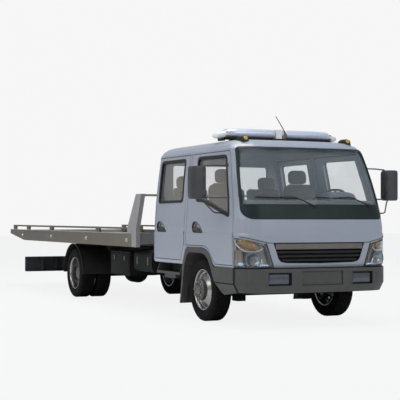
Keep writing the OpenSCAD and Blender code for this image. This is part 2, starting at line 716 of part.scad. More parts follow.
module mudguards() color(black) both_sides() {
  guard();
  for (s = [-1, 1]) rod_y(-wheelbase + s * 390, tyre_r + 196, rail_half, 700, 14);
}
under_x = -7000;
module underrun_beam() color(black) {
  difference() {
    box([under_x - 60, -1090, 291], [under_x + 60, 1090, 548]);
    box([under_x - 52, -1091, 299], [under_x + 61, 1091, 540]);
  }
  both_sides() {
    box([under_x - 52, 797 - 8, 299], [under_x + 50, 797 + 8, 540]);
    box([under_x - 52, 550 - 8, 299], [under_x + 50, 550 + 8, 540]);
    side_prism([[under_x - 54, 380], [under_x - 54, 480], [rail_rear_x, 570], [rail_rear_x + 220, 570],
      [rail_rear_x + 220, rail_low_z], [rail_rear_x, rail_low_z]], rail_half, rail_half + 12);
  }
}
module tail_lamps() color([0.7, 0.1, 0.08]) both_sides()
  box([under_x - 84, 760, 360], [under_x - 60, 1060, 470]);

// Bed and its tilting frame
tilt_x = -6150;
tilt_z = 755;
beam_half = 380;
beam_w = 70;
beam_low_z = 700;
beam_top_z = 810;
tilt_front_x = -2250;
module tilt_frame() color(black) {
  difference() {
    union() {
      both_sides() {
        box([tilt_x, beam_half - beam_w / 2, beam_low_z],
          [tilt_front_x, beam_half + beam_w / 2, beam_top_z]);
        rod_y(tilt_x, tilt_z, beam_half - beam_w / 2, beam_half + beam_w / 2, tilt_z - beam_low_z);
      }
      rod_y(tilt_x, tilt_z, -rail_half - 30, rail_half + 30, tilt_pin_r);
      for (x = [-2300, -3300, -4300, -5300])
        box([x - 30, -beam_half + beam_w / 2, beam_low_z + 10],
          [x + 30, beam_half - beam_w / 2, beam_top_z - 10]);
      // Ears over the cylinders' rods
      for (y = [-cyl_half, cyl_half])
        box([cyl_head_x - 40, y - 9, cyl_head_z - 40], [cyl_head_x + 40, y + 9, beam_low_z + 12]);
      box([cyl_head_x - 40, -beam_half + beam_w / 2, beam_low_z + 10],
        [cyl_head_x + 40, beam_half - beam_w / 2, beam_top_z - 10]);
    }
  }
  both_sides() for (x = [-5900, -4900, -3900, -2900])
    box([x - 150, beam_half - 30, beam_top_z], [x + 150, beam_half + 30, deck_beam_z - fit]);
}
cyl_half = 200;
cyl_foot_x = -4000;
cyl_foot_z = 500;
cyl_head_x = -2750;
cyl_head_z = 660;
cyl_pin_r = 20;
cyl_angle = atan2(cyl_head_z - cyl_foot_z, cyl_head_x - cyl_foot_x);
cyl_len = norm([cyl_head_x - cyl_foot_x, cyl_head_z - cyl_foot_z]);
module on_cylinder() translate([cyl_foot_x, 0, cyl_foot_z]) rotate([0, -cyl_angle, 0]) children();
module tilt_barrels() color(black) for (y = [-cyl_half, cyl_half]) on_cylinder() translate([0, y, 0]) {
  difference() {
    union() {
      translate([0, 30, 0]) rotate([90, 0, 0]) cylinder(r = 38, h = 60);
      rotate([0, 90, 0]) cylinder(r = 26, h = 80);
      translate([60, 0, 0]) rotate([0, 90, 0]) cylinder(r = 50, h = cyl_len - 190);
    }
    translate([0, 60, 0]) rotate([90, 0, 0]) cylinder(r = cyl_pin_r + run_gap, h = 120);
    translate([80, 0, 0]) rotate([0, 90, 0]) cylinder(r = 28 + run_gap, h = 1500);
  }
}
module tilt_rods() color(bright) for (y = [-cyl_half, cyl_half]) on_cylinder() translate([0, y, 0]) {
  translate([180, 0, 0]) rotate([0, 90, 0]) cylinder(r = 28, h = cyl_len - 280);
  translate([cyl_len - 110, -27, -30]) cube([30, 54, 60]);
  for (s = [-27, 15]) translate([cyl_len - 80, s, -30]) cube([110, 12, 60]);
}
deck_beam_z = 825;
deck_plate_z = 950;
deck_plate_t = 10;
side_t = 25;
stud_r = 22;
stud_h = 16;
stud_z = 930;
module bed_deck() color(alloy) {
  box([bed_rear_x + 60, -bed_half + side_t, deck_plate_z],
    [bed_front_x - 160, bed_half - side_t, deck_plate_z + deck_plate_t]);
  both_sides() {
    side_prism([[bed_rear_x, 1015], [bed_rear_x, 949], [-7084, bed_low_z], [bed_front_x - 160, bed_low_z],
      [bed_front_x - 160, bed_top_z], [bed_rear_x + 20, bed_top_z]], bed_half - side_t, bed_half);
    box([-6900, beam_half - 40, deck_beam_z], [bed_front_x - 160, beam_half + 40, deck_plate_z]);
  }
  for (x = [-7000:500:-2000])
    box([x - 25, -bed_half + side_t, deck_plate_z - 60], [x + 25, bed_half - side_t, deck_plate_z]);
  side_prism([[bed_rear_x, 1015], [bed_rear_x, 985], [bed_rear_x + 100, 930],
    [bed_rear_x + 100, deck_plate_z + deck_plate_t]], -bed_half + side_t, bed_half - side_t);
  // Pads under the rails' posts
  both_sides() for (x = rail_posts)
    box([x - post_half - 5, rail_in - 5, deck_plate_z],
      [x + post_half + 5, bed_half - side_t, deck_plate_z + deck_plate_t + pad_t]);
  // Lashing studs along the side
  both_sides() for (x = [-7167, -5487, -3753, -2087])
    rod_y(x, stud_z, bed_half, bed_half + stud_h, stud_r);
  // Winch bed between the front posts
  difference() {
    both_sides() box([winch_x - 110, 282, deck_plate_z + deck_plate_t], [winch_x + 110, 300, winch_z + 70]);
    rod_y(winch_x, winch_z, -310, 310, winch_shaft_r + run_gap);
  }
}
rail_posts = [-7790, -6940, -5600, -3350];
post_half = 75;
rail_in = bed_half - 58;
pad_t = 5;
module bed_rails() color(alloy) both_sides() {
  box([-7880, rail_in, 1077], [-2092, rail_in + 28, 1105]);
  for (x = rail_posts)
    box([x - post_half, rail_in, deck_plate_z + deck_plate_t + pad_t],
      [x + post_half, bed_half - side_t - fit, 1077]);
}
module headboard() color(alloy) {
  both_sides() side_prism([[-1920, bed_low_z], [-1920, bed_top_z + fit], [-2090, bed_top_z + fit],
    [-2090, 1080], [-1767, 1550], [-1575, 1550], [bed_front_x, 1080], [bed_front_x, bed_low_z]],
    bed_half - 60, bed_half);
  box([-1760, -bed_half + 60, 1521], [-1600, bed_half - 60, 1547]);
  box([-1900, -bed_half + 60, 877], [-1860, bed_half - 60, 1026]);
}
winch_x = -2070;
winch_z = 1060;
winch_shaft_r = 22;
module winch_drum() color(bright) {
  rod_y(winch_x, winch_z, -270, 270, 50);
  rod_y(winch_x, winch_z, -300, 300, winch_shaft_r);
  for (y = [-275, 265]) rod_y(winch_x, winch_z, y, y + 10, 88);
}

place() frame_rails();
place() axle_beams();
place() leaf_springs();
place() engine();
place() tanks_and_boxes();
place() mudguards();
place() underrun_beam();
place() tail_lamps();
place() cab_floor();
place() cab_front();
place() cab_sides();
place() cab_rear();
place() cab_roof();
place() cab_glass();
place() grille();
place() headlights();
place() bumper();
place() wheel_arches();
place() cab_steps();
place() seats();
place() dashboard();
place() steering_wheel();
place() wipers();
place() light_bar();
place() roof_fittings();
place() front_door();  // door_front_left
place() mirror([0, 1, 0]) front_door();  // door_front_right
place() rear_door();  // door_rear_left
place() mirror([0, 1, 0]) rear_door();  // door_rear_right
place() door_glass(FRONT_WINDOW);  // glass_front_left
place() mirror([0, 1, 0]) door_glass(FRONT_WINDOW);  // glass_front_right
place() door_glass(REAR_WINDOW);  // glass_rear_left
place() mirror([0, 1, 0]) door_glass(REAR_WINDOW);  // glass_rear_right
place() side_mirror();  // mirror_left
place() mirror([0, 1, 0]) side_mirror();  // mirror_right
place() knuckle();  // knuckle_left
place() mirror([0, 1, 0]) knuckle();  // knuckle_right
place() rim_front();  // rim_front_left
place() mirror([0, 1, 0]) rim_front();  // rim_front_right
place() tyre_front();  // tyre_front_left
place() mirror([0, 1, 0]) tyre_front();  // tyre_front_right
place() rims_rear();  // rims_rear_left
place() mirror([0, 1, 0]) rims_rear();  // rims_rear_right
place() tyres_rear();  // tyres_rear_left
place() mirror([0, 1, 0]) tyres_rear();  // tyres_rear_right
place() tie_rod();
place() tilt_frame();
place() tilt_barrels();
place() tilt_rods();
place() bed_deck();
place() bed_rails();
place() headboard();
place() winch_drum();
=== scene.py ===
"""Looks of the crew-cab tow truck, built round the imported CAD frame.

Metres. Points are written with the front axle at x = 0 and the ground at z = 0,
+X forward and +Y to the truck's left; SHIFT moves them into the row frame.
"""

import math

import bmesh
import bpy
from mathutils import Matrix, Vector


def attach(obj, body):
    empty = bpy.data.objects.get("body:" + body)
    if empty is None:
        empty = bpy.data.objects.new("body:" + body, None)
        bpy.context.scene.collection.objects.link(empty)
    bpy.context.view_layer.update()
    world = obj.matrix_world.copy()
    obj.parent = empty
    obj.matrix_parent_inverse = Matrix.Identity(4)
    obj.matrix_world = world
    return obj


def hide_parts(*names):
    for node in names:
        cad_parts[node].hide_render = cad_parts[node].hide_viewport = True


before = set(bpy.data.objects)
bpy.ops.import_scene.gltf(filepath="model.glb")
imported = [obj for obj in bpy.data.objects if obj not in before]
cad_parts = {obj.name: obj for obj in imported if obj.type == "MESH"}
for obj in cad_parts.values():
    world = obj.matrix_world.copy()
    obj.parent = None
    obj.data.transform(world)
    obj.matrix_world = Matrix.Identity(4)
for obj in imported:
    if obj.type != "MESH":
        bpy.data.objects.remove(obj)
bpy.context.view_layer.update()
scene = bpy.context.scene
SHIFT = 3.39

# ---------------------------------------------------------------- camera
# Place and axes solved from the photo; focal length in mm on a 36 mm wide sensor
EYE = (12.0345, -6.5940, 1.2278)
RIGHT = (0.42281, 0.90622, 0.00110)
UP = (0.01439, -0.00793, 0.99987)
FORWARD = (-0.90610, 0.42274, 0.01639)
FOCAL = 100.07
SENSOR = 36.0


def make_camera():
    data = bpy.data.cameras.new("camera")
    data.sensor_width = SENSOR
    data.lens = FOCAL
    data.clip_end = 200.0
    camera = bpy.data.objects.new("camera", data)
    scene.collection.objects.link(camera)
    rows = [
        [RIGHT[i], UP[i], -FORWARD[i], EYE[i] + (SHIFT if i == 0 else 0.0)]
        for i in range(3)
    ]
    camera.matrix_world = Matrix(rows + [[0, 0, 0, 1]])
    scene.camera = camera


# ------------------------------------------------------------- materials
ROUGH_SPREAD = 0.15
COAT_ROUGH = 0.24


def nodes_of(name):
    mat = bpy.data.materials.new(name)
    mat.use_nodes = True
    tree = mat.node_tree
    return mat, tree, tree.nodes["Principled BSDF"]


def fill(tree, node, **inputs):
    """Sets or links a node's inputs; an underscore stands for a space."""
    for word, value in inputs.items():
        socket = node.inputs[word.replace("_", " ")]
        if isinstance(value, bpy.types.NodeSocket):
            tree.links.new(value, socket)
        else:
            socket.default_value = value
    return node


def add_node(tree, kind, **inputs):
    return fill(tree, tree.nodes.new("ShaderNode" + kind), **inputs)


def mix_shaders(tree, fac, first, second, out):
    """Shows the first shader where fac is 0 and the second where it is 1."""
    both = add_node(tree, "MixShader", Fac=fac)
    tree.links.new(first.outputs[0], both.inputs[1])
    tree.links.new(second.outputs[0], both.inputs[2])
    tree.links.new(both.outputs[0], out.inputs[0])


def noise(tree, scale, detail, rough, stretch=(1, 1, 1)):
    """Noise over the piece's own coordinates."""
    coord = add_node(tree, "TexCoord")
    mapping = add_node(tree, "Mapping", Scale=stretch, Vector=coord.outputs["Object"])
    tex = add_node(tree, "TexNoise", Scale=scale, Detail=detail, Roughness=rough,
                   Vector=mapping.outputs["Vector"])
    return tex.outputs["Fac"]


def spread_colour(tree, fac, colour, spread):
    """Colour that runs from a darker to a lighter tone with fac."""
    ramp = add_node(tree, "ValToRGB", Fac=fac)
    dark = [c * (1 - spread) for c in colour]
    light = [min(1.0, c * (1 + spread)) for c in colour]
    for stop, position, tone in zip(ramp.color_ramp.elements, (0.3, 0.7), (dark, light)):
        stop.position = position
        stop.color = (*tone, 1)
    return ramp.outputs["Color"]


def surface(name, colour, rough, metal=0.0, spread=0.06, patch=3.0, grain=400.0,
            relief=0.0003, coat=0.0, stretch=(1, 1, 1), shine=0.5):
    """A finish with soft colour patches, uneven roughness and a fine relief."""
    mat, tree, bsdf = nodes_of(name)
    patches = noise(tree, patch, 4.0, 0.6)
    fine = noise(tree, grain, 2.0, 0.5, stretch)
    uneven = add_node(tree, "MapRange", Value=fine, To_Min=rough * (1 - ROUGH_SPREAD),
                      To_Max=rough * (1 + ROUGH_SPREAD))
    fill(tree, bsdf, Base_Color=spread_colour(tree, patches, colour, spread),
         Roughness=uneven.outputs["Result"], Metallic=metal, Specular_IOR_Level=shine,
         Coat_Weight=coat, Coat_Roughness=COAT_ROUGH)
    if relief:
        raised = add_node(tree, "Bump", Strength=0.5, Distance=relief, Height=fine)
        fill(tree, bsdf, Normal=raised.outputs["Normal"])
    return mat


def see_through(name, colour, rough=0.02):
    """Clear or tinted glass or plastic that lets light into what is behind it."""
    mat, tree, bsdf = nodes_of(name)
    patches = noise(tree, 2.0, 2.0, 0.5)
    fill(tree, bsdf, Base_Color=spread_colour(tree, patches, colour, 0.03),
         Roughness=rough, Transmission_Weight=1.0, IOR=1.45)
    clear = add_node(tree, "BsdfTransparent", Color=(*colour, 1))
    path = add_node(tree, "LightPath")
    mix_shaders(tree, path.outputs["Is Shadow Ray"], bsdf, clear,
                tree.nodes["Material Output"])
    return mat


def veiled(name, veil, clear, share):
    """Screen with a painted grey-blue reflection of daylight, which dims what is behind it.
    """
    mat, tree, bsdf = nodes_of(name)
    patches = noise(tree, 0.6, 2.0, 0.5)
    fill(tree, bsdf, Base_Color=spread_colour(tree, patches, veil, 0.10), Roughness=0.5,
         Specular_IOR_Level=0.2, Coat_Weight=0.25, Coat_Roughness=0.03)
    open_glass = add_node(tree, "BsdfTransparent", Color=(*clear, 1))
    mix_shaders(tree, share, bsdf, open_glass, tree.nodes["Material Output"])
    return mat


PAINT = surface("paint", (0.268, 0.291, 0.336), 0.36, coat=0.40, spread=0.025, patch=1.5,
                grain=900, relief=0.00004)
DARK = surface("dark_plastic", (0.053, 0.053, 0.047), 0.58, spread=0.12, patch=6,
               grain=700, relief=0.0004, shine=0.4)
BLACK = surface("black_trim", (0.012, 0.012, 0.011), 0.5, spread=0.2, patch=5,
                grain=600, relief=0.0003, shine=0.3)
CHASSIS = surface("chassis_paint", (0.0095, 0.009, 0.0078), 0.65, spread=0.35, patch=4,
                  grain=250, relief=0.0008, shine=0.12)
RUBBER = surface("tyre_rubber", (0.0068, 0.0066, 0.0058), 0.82, spread=0.25, patch=8,
                 grain=350, relief=0.0006, shine=0.12)
ALLOY = surface("bed_aluminium", (0.132, 0.113, 0.084), 0.45, metal=0.25, spread=0.1,
                patch=2.5, grain=160, relief=0.0003, stretch=(0.15, 1, 1))
STEEL = surface("bright_steel", (0.62, 0.63, 0.65), 0.22, metal=1.0, spread=0.08,
                patch=7, grain=500, relief=0.0001)
RIM = surface("rim_metal", (0.34, 0.325, 0.305), 0.26, metal=1.0, spread=0.10, patch=9,
              grain=500, relief=0.0002)
STUD = surface("lashing_stud", (0.55, 0.48, 0.38), 0.3, metal=0.8, spread=0.15, patch=20,
               grain=500, relief=0.0002)
CHROME = surface("chrome", (0.78, 0.78, 0.79), 0.08, metal=1.0, spread=0.04, patch=9,
                 grain=300, relief=0.00005)
IRON = surface("cast_iron", (0.10, 0.098, 0.095), 0.55, metal=0.6, spread=0.3, patch=9,
               grain=200, relief=0.001)
IRON_NUT = surface("nut_steel", (0.30, 0.29, 0.27), 0.34, metal=0.9, spread=0.2, patch=20,
                   grain=400, relief=0.0002)
GLASS = see_through("tinted_glass", (0.93, 0.94, 0.94))
# The screen's grey-blue colour is a painted reflection of daylight on the glass
SCREEN = veiled("screen_glass", (0.37, 0.42, 0.445), (0.97, 0.98, 0.98), 0.86)
FRIT = surface("windshield_band", (0.014, 0.022, 0.022), 0.42, spread=0.15, patch=3,
               grain=300, relief=0.00003, shine=0.14)
FABRIC = surface("seat_fabric", (0.100, 0.082, 0.054), 0.9, spread=0.12, patch=20,
                 grain=900, relief=0.0008)
CABIN = surface("cabin_plastic", (0.16, 0.165, 0.17), 0.65, spread=0.08, patch=6,
                grain=600, relief=0.0005)
RED = surface("red_lens", (0.35, 0.012, 0.010), 0.2, spread=0.15, patch=30, grain=300,
              relief=0.0004, coat=0.5)

HUB = surface("hub_grey", (0.115, 0.112, 0.105), 0.38, metal=0.7, spread=0.2, patch=14,
              grain=400, relief=0.0004)
GRILLE_BAR = surface("grille_bar", (0.115, 0.095, 0.085), 0.35, spread=0.15, patch=5,
                     grain=500, relief=0.0002, coat=0.3)
VOID = surface("shadow_black", (0.004, 0.004, 0.004), 0.9, spread=0.3, patch=8,
               grain=300, relief=0.0003)
LAMP_GREY = surface("lamp_housing", (0.150, 0.148, 0.130), 0.35, metal=0.3, spread=0.3,
                    patch=22, grain=300, relief=0.0003)
REFLECTOR = surface("reflector", (0.22, 0.25, 0.27), 0.22, metal=1.0, spread=0.12, patch=25,
                    grain=300, relief=0.0002)
COLUMN = surface("lamp_column", (0.24, 0.205, 0.165), 0.28, metal=0.7, spread=0.15, patch=25,
                 grain=300, relief=0.0002)
# Bluish white colour painted on small headlight parts as a glint of reflected light; it does
# not glow as a lamp
PAINTED_GLINT = surface("painted_glint", (0.36, 0.54, 0.82), 0.15, spread=0.06, patch=30, grain=300,
                relief=0.0002, coat=0.5)
AMBER = surface("amber_lens", (0.205, 0.112, 0.028), 0.22, spread=0.18, patch=40, grain=350,
                relief=0.0005, coat=0.3)
MARKER = surface("marker_lens", (0.55, 0.36, 0.035), 0.25, spread=0.15, patch=40, grain=350,
                 relief=0.0004, coat=0.4)
HANDLE = surface("handle_plastic", (0.062, 0.060, 0.045), 0.4, spread=0.15, patch=12,
                 grain=500, relief=0.0003)
SHELL = surface("mirror_shell", (0.035, 0.037, 0.038), 0.5, spread=0.12, patch=6,
                grain=600, relief=0.0003)
POST = surface("headboard_paint", (0.27, 0.26, 0.25), 0.45, spread=0.08, patch=3, grain=300,
               relief=0.0003)
BROW_METAL = surface("lamp_brow", (0.74, 0.70, 0.62), 0.26, metal=0.8, spread=0.15,
                     patch=25, grain=300, relief=0.0002)
LENS = see_through("clear_lens", (0.94, 0.95, 0.96), 0.01)
CLEAR_CAP = surface("milky_cap", (0.70, 0.72, 0.71), 0.30, spread=0.10, patch=25, grain=300,
                    relief=0.0003, coat=0.4)
FOG_LENS = surface("fog_lens", (0.045, 0.056, 0.064), 0.22, metal=0.2, spread=0.25,
                   patch=30, grain=260, relief=0.0004, coat=0.6)
MIRROR = surface("mirror_glass", (0.75, 0.77, 0.78), 0.03, metal=1.0, spread=0.02,
                 patch=4, grain=200, relief=0.0)
BAR_COVER = surface("beacon_cover", (0.56, 0.60, 0.68), 0.28, metal=0.30, spread=0.06,
                    patch=6, grain=300, relief=0.0003, coat=0.4)
WHITE_BOX = surface("white_box", (0.80, 0.80, 0.78), 0.45, spread=0.03, patch=6,
                    grain=400, relief=0.0002)
DECK = surface("deck_plate", (0.33, 0.325, 0.31), 0.5, metal=0.6, spread=0.16, patch=3,
               grain=120, relief=0.0006, stretch=(0.1, 1, 1))
EDGE = surface("bed_edge", (0.52, 0.54, 0.56), 0.35, metal=0.5, spread=0.08, patch=5,
               grain=220, relief=0.0002)

CAD_FINISH = (
    (PAINT, "cab_front cab_sides cab_rear cab_roof door_front_left door_front_right"
            " door_rear_left door_rear_right"),
    (CHASSIS, "frame_rails axle_beams leaf_springs tanks_and_boxes tie_rod tilt_frame"
              " tilt_barrels"),
    (BLACK, "mudguards grille steering_wheel wipers roof_fittings mirror_left"
            " mirror_right"),
    (GLASS, "glass_front_left glass_front_right glass_rear_left glass_rear_right"),
    (RIM, "rim_front_left rim_front_right rims_rear_left rims_rear_right"),
    (RUBBER, "tyre_front_left tyre_front_right tyres_rear_left tyres_rear_right"),
    (IRON, "engine knuckle_left knuckle_right"), (DARK, "bumper wheel_arches cab_steps"),
    (CABIN, "cab_floor dashboard"), (CHROME, "headlights tilt_rods"),
    (STEEL, "light_bar winch_drum"), (ALLOY, "bed_deck bed_rails"),
    (SHELL, "underrun_beam"), (RED, "tail_lamps"), (SCREEN, "cab_glass"),
    (FABRIC, "seats"), (POST, "headboard"),
)
CAD_SHARP = 28


def dress_cad():
    """Gives each CAD node its finish and smooth shading between its sharp edges."""
    for mat, names in CAD_FINISH:
        for name in names.split():
            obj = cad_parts[name]
            obj.data.materials.clear()
            obj.data.materials.append(mat)
            if obj.data.has_custom_normals:
                bpy.context.view_layer.objects.active = obj
                bpy.ops.mesh.customdata_custom_splitnormals_clear()
            obj.data.shade_smooth()
            obj.data.set_sharp_from_angle(angle=math.radians(CAD_SHARP))


# ------------------------------------------------------------ mesh makers
# Edges sharper than this, in degrees, stay sharp
SHARP = 32


class Shape:
    """Collects points and faces, each face with a finish number, for one piece."""

    def __init__(self):
        self.points, self.faces, self.finish = [], [], []

    def add(self, points, faces, finish=0):
        first = len(self.points)
        self.points += [Vector(p) for p in points]
        self.faces += [[first + i for i in face] for face in faces]
        self.finish += [finish] * len(faces)
        return self

    def box(self, low, high, finish=0):
        corners = [(x, y, z) for x in (low[0], high[0]) for y in (low[1], high[1])
                   for z in (low[2], high[2])]
        sides = [(0, 1, 3, 2), (4, 6, 7, 5), (0, 4, 5, 1), (2, 3, 7, 6), (0, 2, 6, 4),
                 (1, 5, 7, 3)]
        return self.add(corners, sides, finish)

    def grid(self, rows, finish=0, around=False, along=False, caps=False):
        """Quads between rows of points; around closes each row, along the rows."""
        count, width = len(rows), len(rows[0])
        faces = []
        for i in range(count if along else count - 1):
            for k in range(width if around else width - 1):
                a, b = i * width, (i + 1) % count * width
                m = (k + 1) % width
                faces.append((a + k, a + m, b + m, b + k))
        if caps:
            faces.append(tuple(range(width))[::-1])
            faces.append(tuple((count - 1) * width + k for k in range(width)))
        return self.add([p for row in rows for p in row], faces, finish)

    def prism(self, outline, axis, low, high, finish=0):
        """Outline in the two other axes, in x, y, z order, drawn out along axis."""
        rows = []
        for level in (low, high):
            row = []
            for a, b in outline:
                point = [a, b]
                point.insert("xyz".index(axis), level)
                row.append(point)
            rows.append(row)
        return self.grid(rows, finish, around=True, caps=True)

    def spun(self, place, profile, finish=0, steps=20, closed=False):
        """Profile of (radius, lift) turned about the axis that place stands on."""
        rows = []
        for k in range(steps):
            a = 2 * math.pi * k / steps
            rows.append([place(r * math.cos(a), r * math.sin(a), h) for r, h in profile])
        return self.grid(rows, finish, around=closed, along=True)

    def rings(self, place, levels, finish=0):
        """Closed band through outlines, each at its own lift."""
        rows = [[place(u, v, h) for u, v in line] for line, h in levels]
        return self.grid(rows, finish, around=True)

    def cover(self, place, line, lift, finish=0):
        """Flat face within an outline."""
        return self.add([place(u, v, lift) for u, v in line], [tuple(range(len(line)))],
                        finish)

    def strip(self, place, path, section, finish=0):
        """Bar along a path of (u, v), with a section of (u, v, lift) from it."""
        rows = [[place(u + du, v + dv, h) for du, dv, h in section] for u, v in path]
        return self.grid(rows, finish, around=True, caps=True)

    def tube(self, line, radius, finish=0, sides=10):
        """Round bar along a line of points, with flat ends."""
        line = [Vector(p) for p in line]
        rows = []
        side = None
        for i, point in enumerate(line):
            way = (line[min(i + 1, len(line) - 1)] - line[max(i - 1, 0)]).normalized()
            if side is None:
                side = way.orthogonal().normalized()
            side = (side - side.dot(way) * way).normalized()
            other = way.cross(side)
            r = radius[i] if isinstance(radius, (list, tuple)) else radius
            rows.append([
                point + r * (math.cos(2 * math.pi * k / sides) * side
                             + math.sin(2 * math.pi * k / sides) * other)
                for k in range(sides)
            ])
        return self.grid(rows, finish, around=True, caps=True)

    def nut(self, centre, axis, radius, height, finish=0, dome=0.0):
        """Six-sided nut or bolt head standing on centre along axis."""
        line = [(1.0, 0.0), (1.0, 0.75), (0.86, 1.0)]
        if dome:
            line += [(0.55, 1.0 + dome), (0.2, 1.0 + dome * 1.25)]
        way = Vector(axis).normalized()
        side = way.orthogonal().normalized()
        other = way.cross(side)
        rows = [[
            Vector(centre) + way * height * up + radius * r * (
                math.cos(math.pi * k / 3) * side + math.sin(math.pi * k / 3) * other)
            for k in range(6)
        ] for r, up in line]
        return self.grid(rows, finish, around=True, caps=True)

    def flipped(self):
        """The mirror image across the truck's middle plane."""
        other = Shape()
        other.points = [Vector((p.x, -p.y, p.z)) for p in self.points]
        other.faces = [list(reversed(f)) for f in self.faces]
        other.finish = list(self.finish)
        return other

    def both(self):
        """Adds the mirror image."""
        other = self.flipped()
        count = len(self.points)
        self.points += other.points
        self.faces += [[count + i for i in f] for f in other.faces]
        self.finish += other.finish
        return self

    def make(self, name, mats, body, bevel=0.0, angle=SHARP, replaces=(), thick=0.0):
        """One object of all that was added, riding on body."""
        mesh = bpy.data.meshes.new(name)
        moved = [(p.x + SHIFT, p.y, p.z) for p in self.points]
        mesh.from_pydata(moved, [], self.faces)
        for mat in mats:
            mesh.materials.append(mat)
        mesh.polygons.foreach_set("material_index", self.finish)
        work = bmesh.new()
        work.from_mesh(mesh)
        bmesh.ops.remove_doubles(work, verts=work.verts, dist=1e-5)
        bmesh.ops.recalc_face_normals(work, faces=work.faces)
        work.to_mesh(mesh)
        work.free()
        mesh.shade_smooth()
        mesh.set_sharp_from_angle(angle=math.radians(angle))
        obj = bpy.data.objects.new(name, mesh)
        scene.collection.objects.link(obj)
        if thick:
            shell = obj.modifiers.new("thick", "SOLIDIFY")
            shell.thickness = thick
            shell.offset = -1.0
        if bevel:
            edge = obj.modifiers.new("bevel", "BEVEL")
            edge.width = bevel
            edge.segments = 2
            edge.limit_method = "ANGLE"
            edge.angle_limit = math.radians(angle)
            edge.harden_normals = True
        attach(obj, body)
        if replaces:
            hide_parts(*replaces)
        return obj


def sides_of(shape, name, mats, bodies, replaces=((), ()), **more):
    """The right-hand piece as built and its left-hand mirror image."""
    shape.make(name + "_right", mats, bodies[0], replaces=replaces[0], **more)
    shape.flipped().make(name + "_left", mats, bodies[1], replaces=replaces[1], **more)


def mix(a, b, share):
    return a + (b - a) * share


def fillet(points, radius, steps=6):
    """Closed outline with each corner rounded; radius is one number or a list."""
    out = []
    count = len(points)
    for i in range(count):
        here = Vector(points[i])
        a = Vector(points[i - 1]) - here
        b = Vector(points[(i + 1) % count]) - here
        r = radius[i] if isinstance(radius, (list, tuple)) else radius
        cut = min(r, a.length * 0.49, b.length * 0.49)
        start, end = here + a.normalized() * cut, here + b.normalized() * cut
        for k in range(steps + 1):
            t = k / steps
            out.append(tuple((1 - t) ** 2 * start + 2 * t * (1 - t) * here + t * t * end))
    return out


def rect(u0, v0, u1, v1):
    return [(u0, v0), (u0, v1), (u1, v1), (u1, v0)]


# ---------------------------------------------------------- the cab's skin
# Height, front, half width, front corner radius of the cab's outline
SKIN = [
    (0.665, 1.130, 0.972, 0.230), (0.700, 1.142, 0.983, 0.240),
    (1.036, 1.146, 0.986, 0.250), (1.062, 1.1445, 0.976, 0.250),
    (1.130, 1.140, 0.978, 0.255), (1.224, 1.132, 0.972, 0.260),
    (1.440, 1.074, 0.957, 0.270), (1.660, 1.000, 0.934, 0.270),
    (1.850, 0.920, 0.909, 0.260), (1.980, 0.855, 0.890, 0.250),
    (2.035, 0.812, 0.880, 0.240), (2.085, 0.750, 0.847, 0.235),
    (2.125, 0.670, 0.795, 0.230), (2.146, 0.560, 0.720, 0.220),
    (2.160, 0.380, 0.560, 0.200),
]
# How far the middle of nose and bumper stands ahead of their corners
BOW = 0.022


def skin_at(z):
    z = min(max(z, SKIN[0][0]), SKIN[-1][0])
    for low, high in zip(SKIN, SKIN[1:]):
        if z <= high[0]:
            share = (z - low[0]) / (high[0] - low[0])
            return [mix(low[i], high[i], share) for i in (1, 2, 3)]
    return SKIN[-1][1:]


def front_line(front, half, corner):
    """Half outline of a bowed front, from the middle round its corner."""
    line = [(front, 0.0), (front - BOW / 3, (half - corner) * 0.6)]
    for i in range(7):
        a = math.radians(8 + 82 * i / 6)
        line.append((front - BOW - corner + corner * math.cos(a),
                     half - corner + corner * math.sin(a)))
    return line


def nose_line(z):
    """Half outline of the nose at height z, with its straight side."""
    front, half, corner = skin_at(z)
    return front_line(front, half, corner) + [(0.0, half)]


def on_nose(y, z, lift=0.0):
    """Point of the nose's skin at y and z, lifted off it along its normal."""
    line = nose_line(z)
    side = -1 if y < 0 else 1
    far = abs(y)
    for (x0, y0), (x1, y1) in zip(line, line[1:]):
        if far <= y1 or (x1, y1) == line[-1]:
            share = min(1.0, max(0.0, (far - y0) / max(y1 - y0, 1e-9)))
            normal = Vector((y1 - y0, x0 - x1, 0)).normalized()
            return Vector((mix(x0, x1, share) + normal.x * lift,
                           side * (far + normal.y * lift), z))


def along_nose(s, z, lift=0.0, side=-1):
    """Point at distance s along the nose's outline from its middle."""
    line = nose_line(z)
    left = s
    for (x0, y0), (x1, y1) in zip(line, line[1:]):
        length = math.hypot(x1 - x0, y1 - y0)
        if left <= length or (x1, y1) == line[-1]:
            share = left / length
            normal = Vector((y1 - y0, x0 - x1, 0)).normalized()
            return Vector((mix(x0, x1, share) + normal.x * lift,
                           side * (mix(y0, y1, share) + normal.y * lift), z))
        left -= length


def nose_distance(z, y=None, x=None):
    """Distance along the nose's outline to the point with that y, or that x."""
    line = nose_line(z)
    total = 0.0
    for (x0, y0), (x1, y1) in zip(line, line[1:]):
        length = math.hypot(x1 - x0, y1 - y0)
        if y is not None and y0 <= y <= y1:
            return total + length * (y - y0) / (y1 - y0)
        if x is not None and x1 <= x <= x0:
            return total + length * (x0 - x) / (x0 - x1)
        total += length
    return total


def on_side(x, z, lift=0.0):
    """Point of the right-hand side's skin."""
    return Vector((x, -(skin_at(z)[1] + lift), z))


def split_alike(inner, outer, longest=0.04):
    """Both outlines with their long edges split into the same number of parts."""
    new_inner, new_outer = [], []
    for i in range(len(inner)):
        a, b = Vector(inner[i - 1]), Vector(inner[i])
        c, d = Vector(outer[i - 1]), Vector(outer[i])
        parts = max(1, math.ceil(max((b - a).length, (d - c).length) / longest))
        for k in range(1, parts + 1):
            new_inner.append(tuple(a.lerp(b, k / parts)))
            new_outer.append(tuple(c.lerp(d, k / parts)))
    return new_inner, new_outer


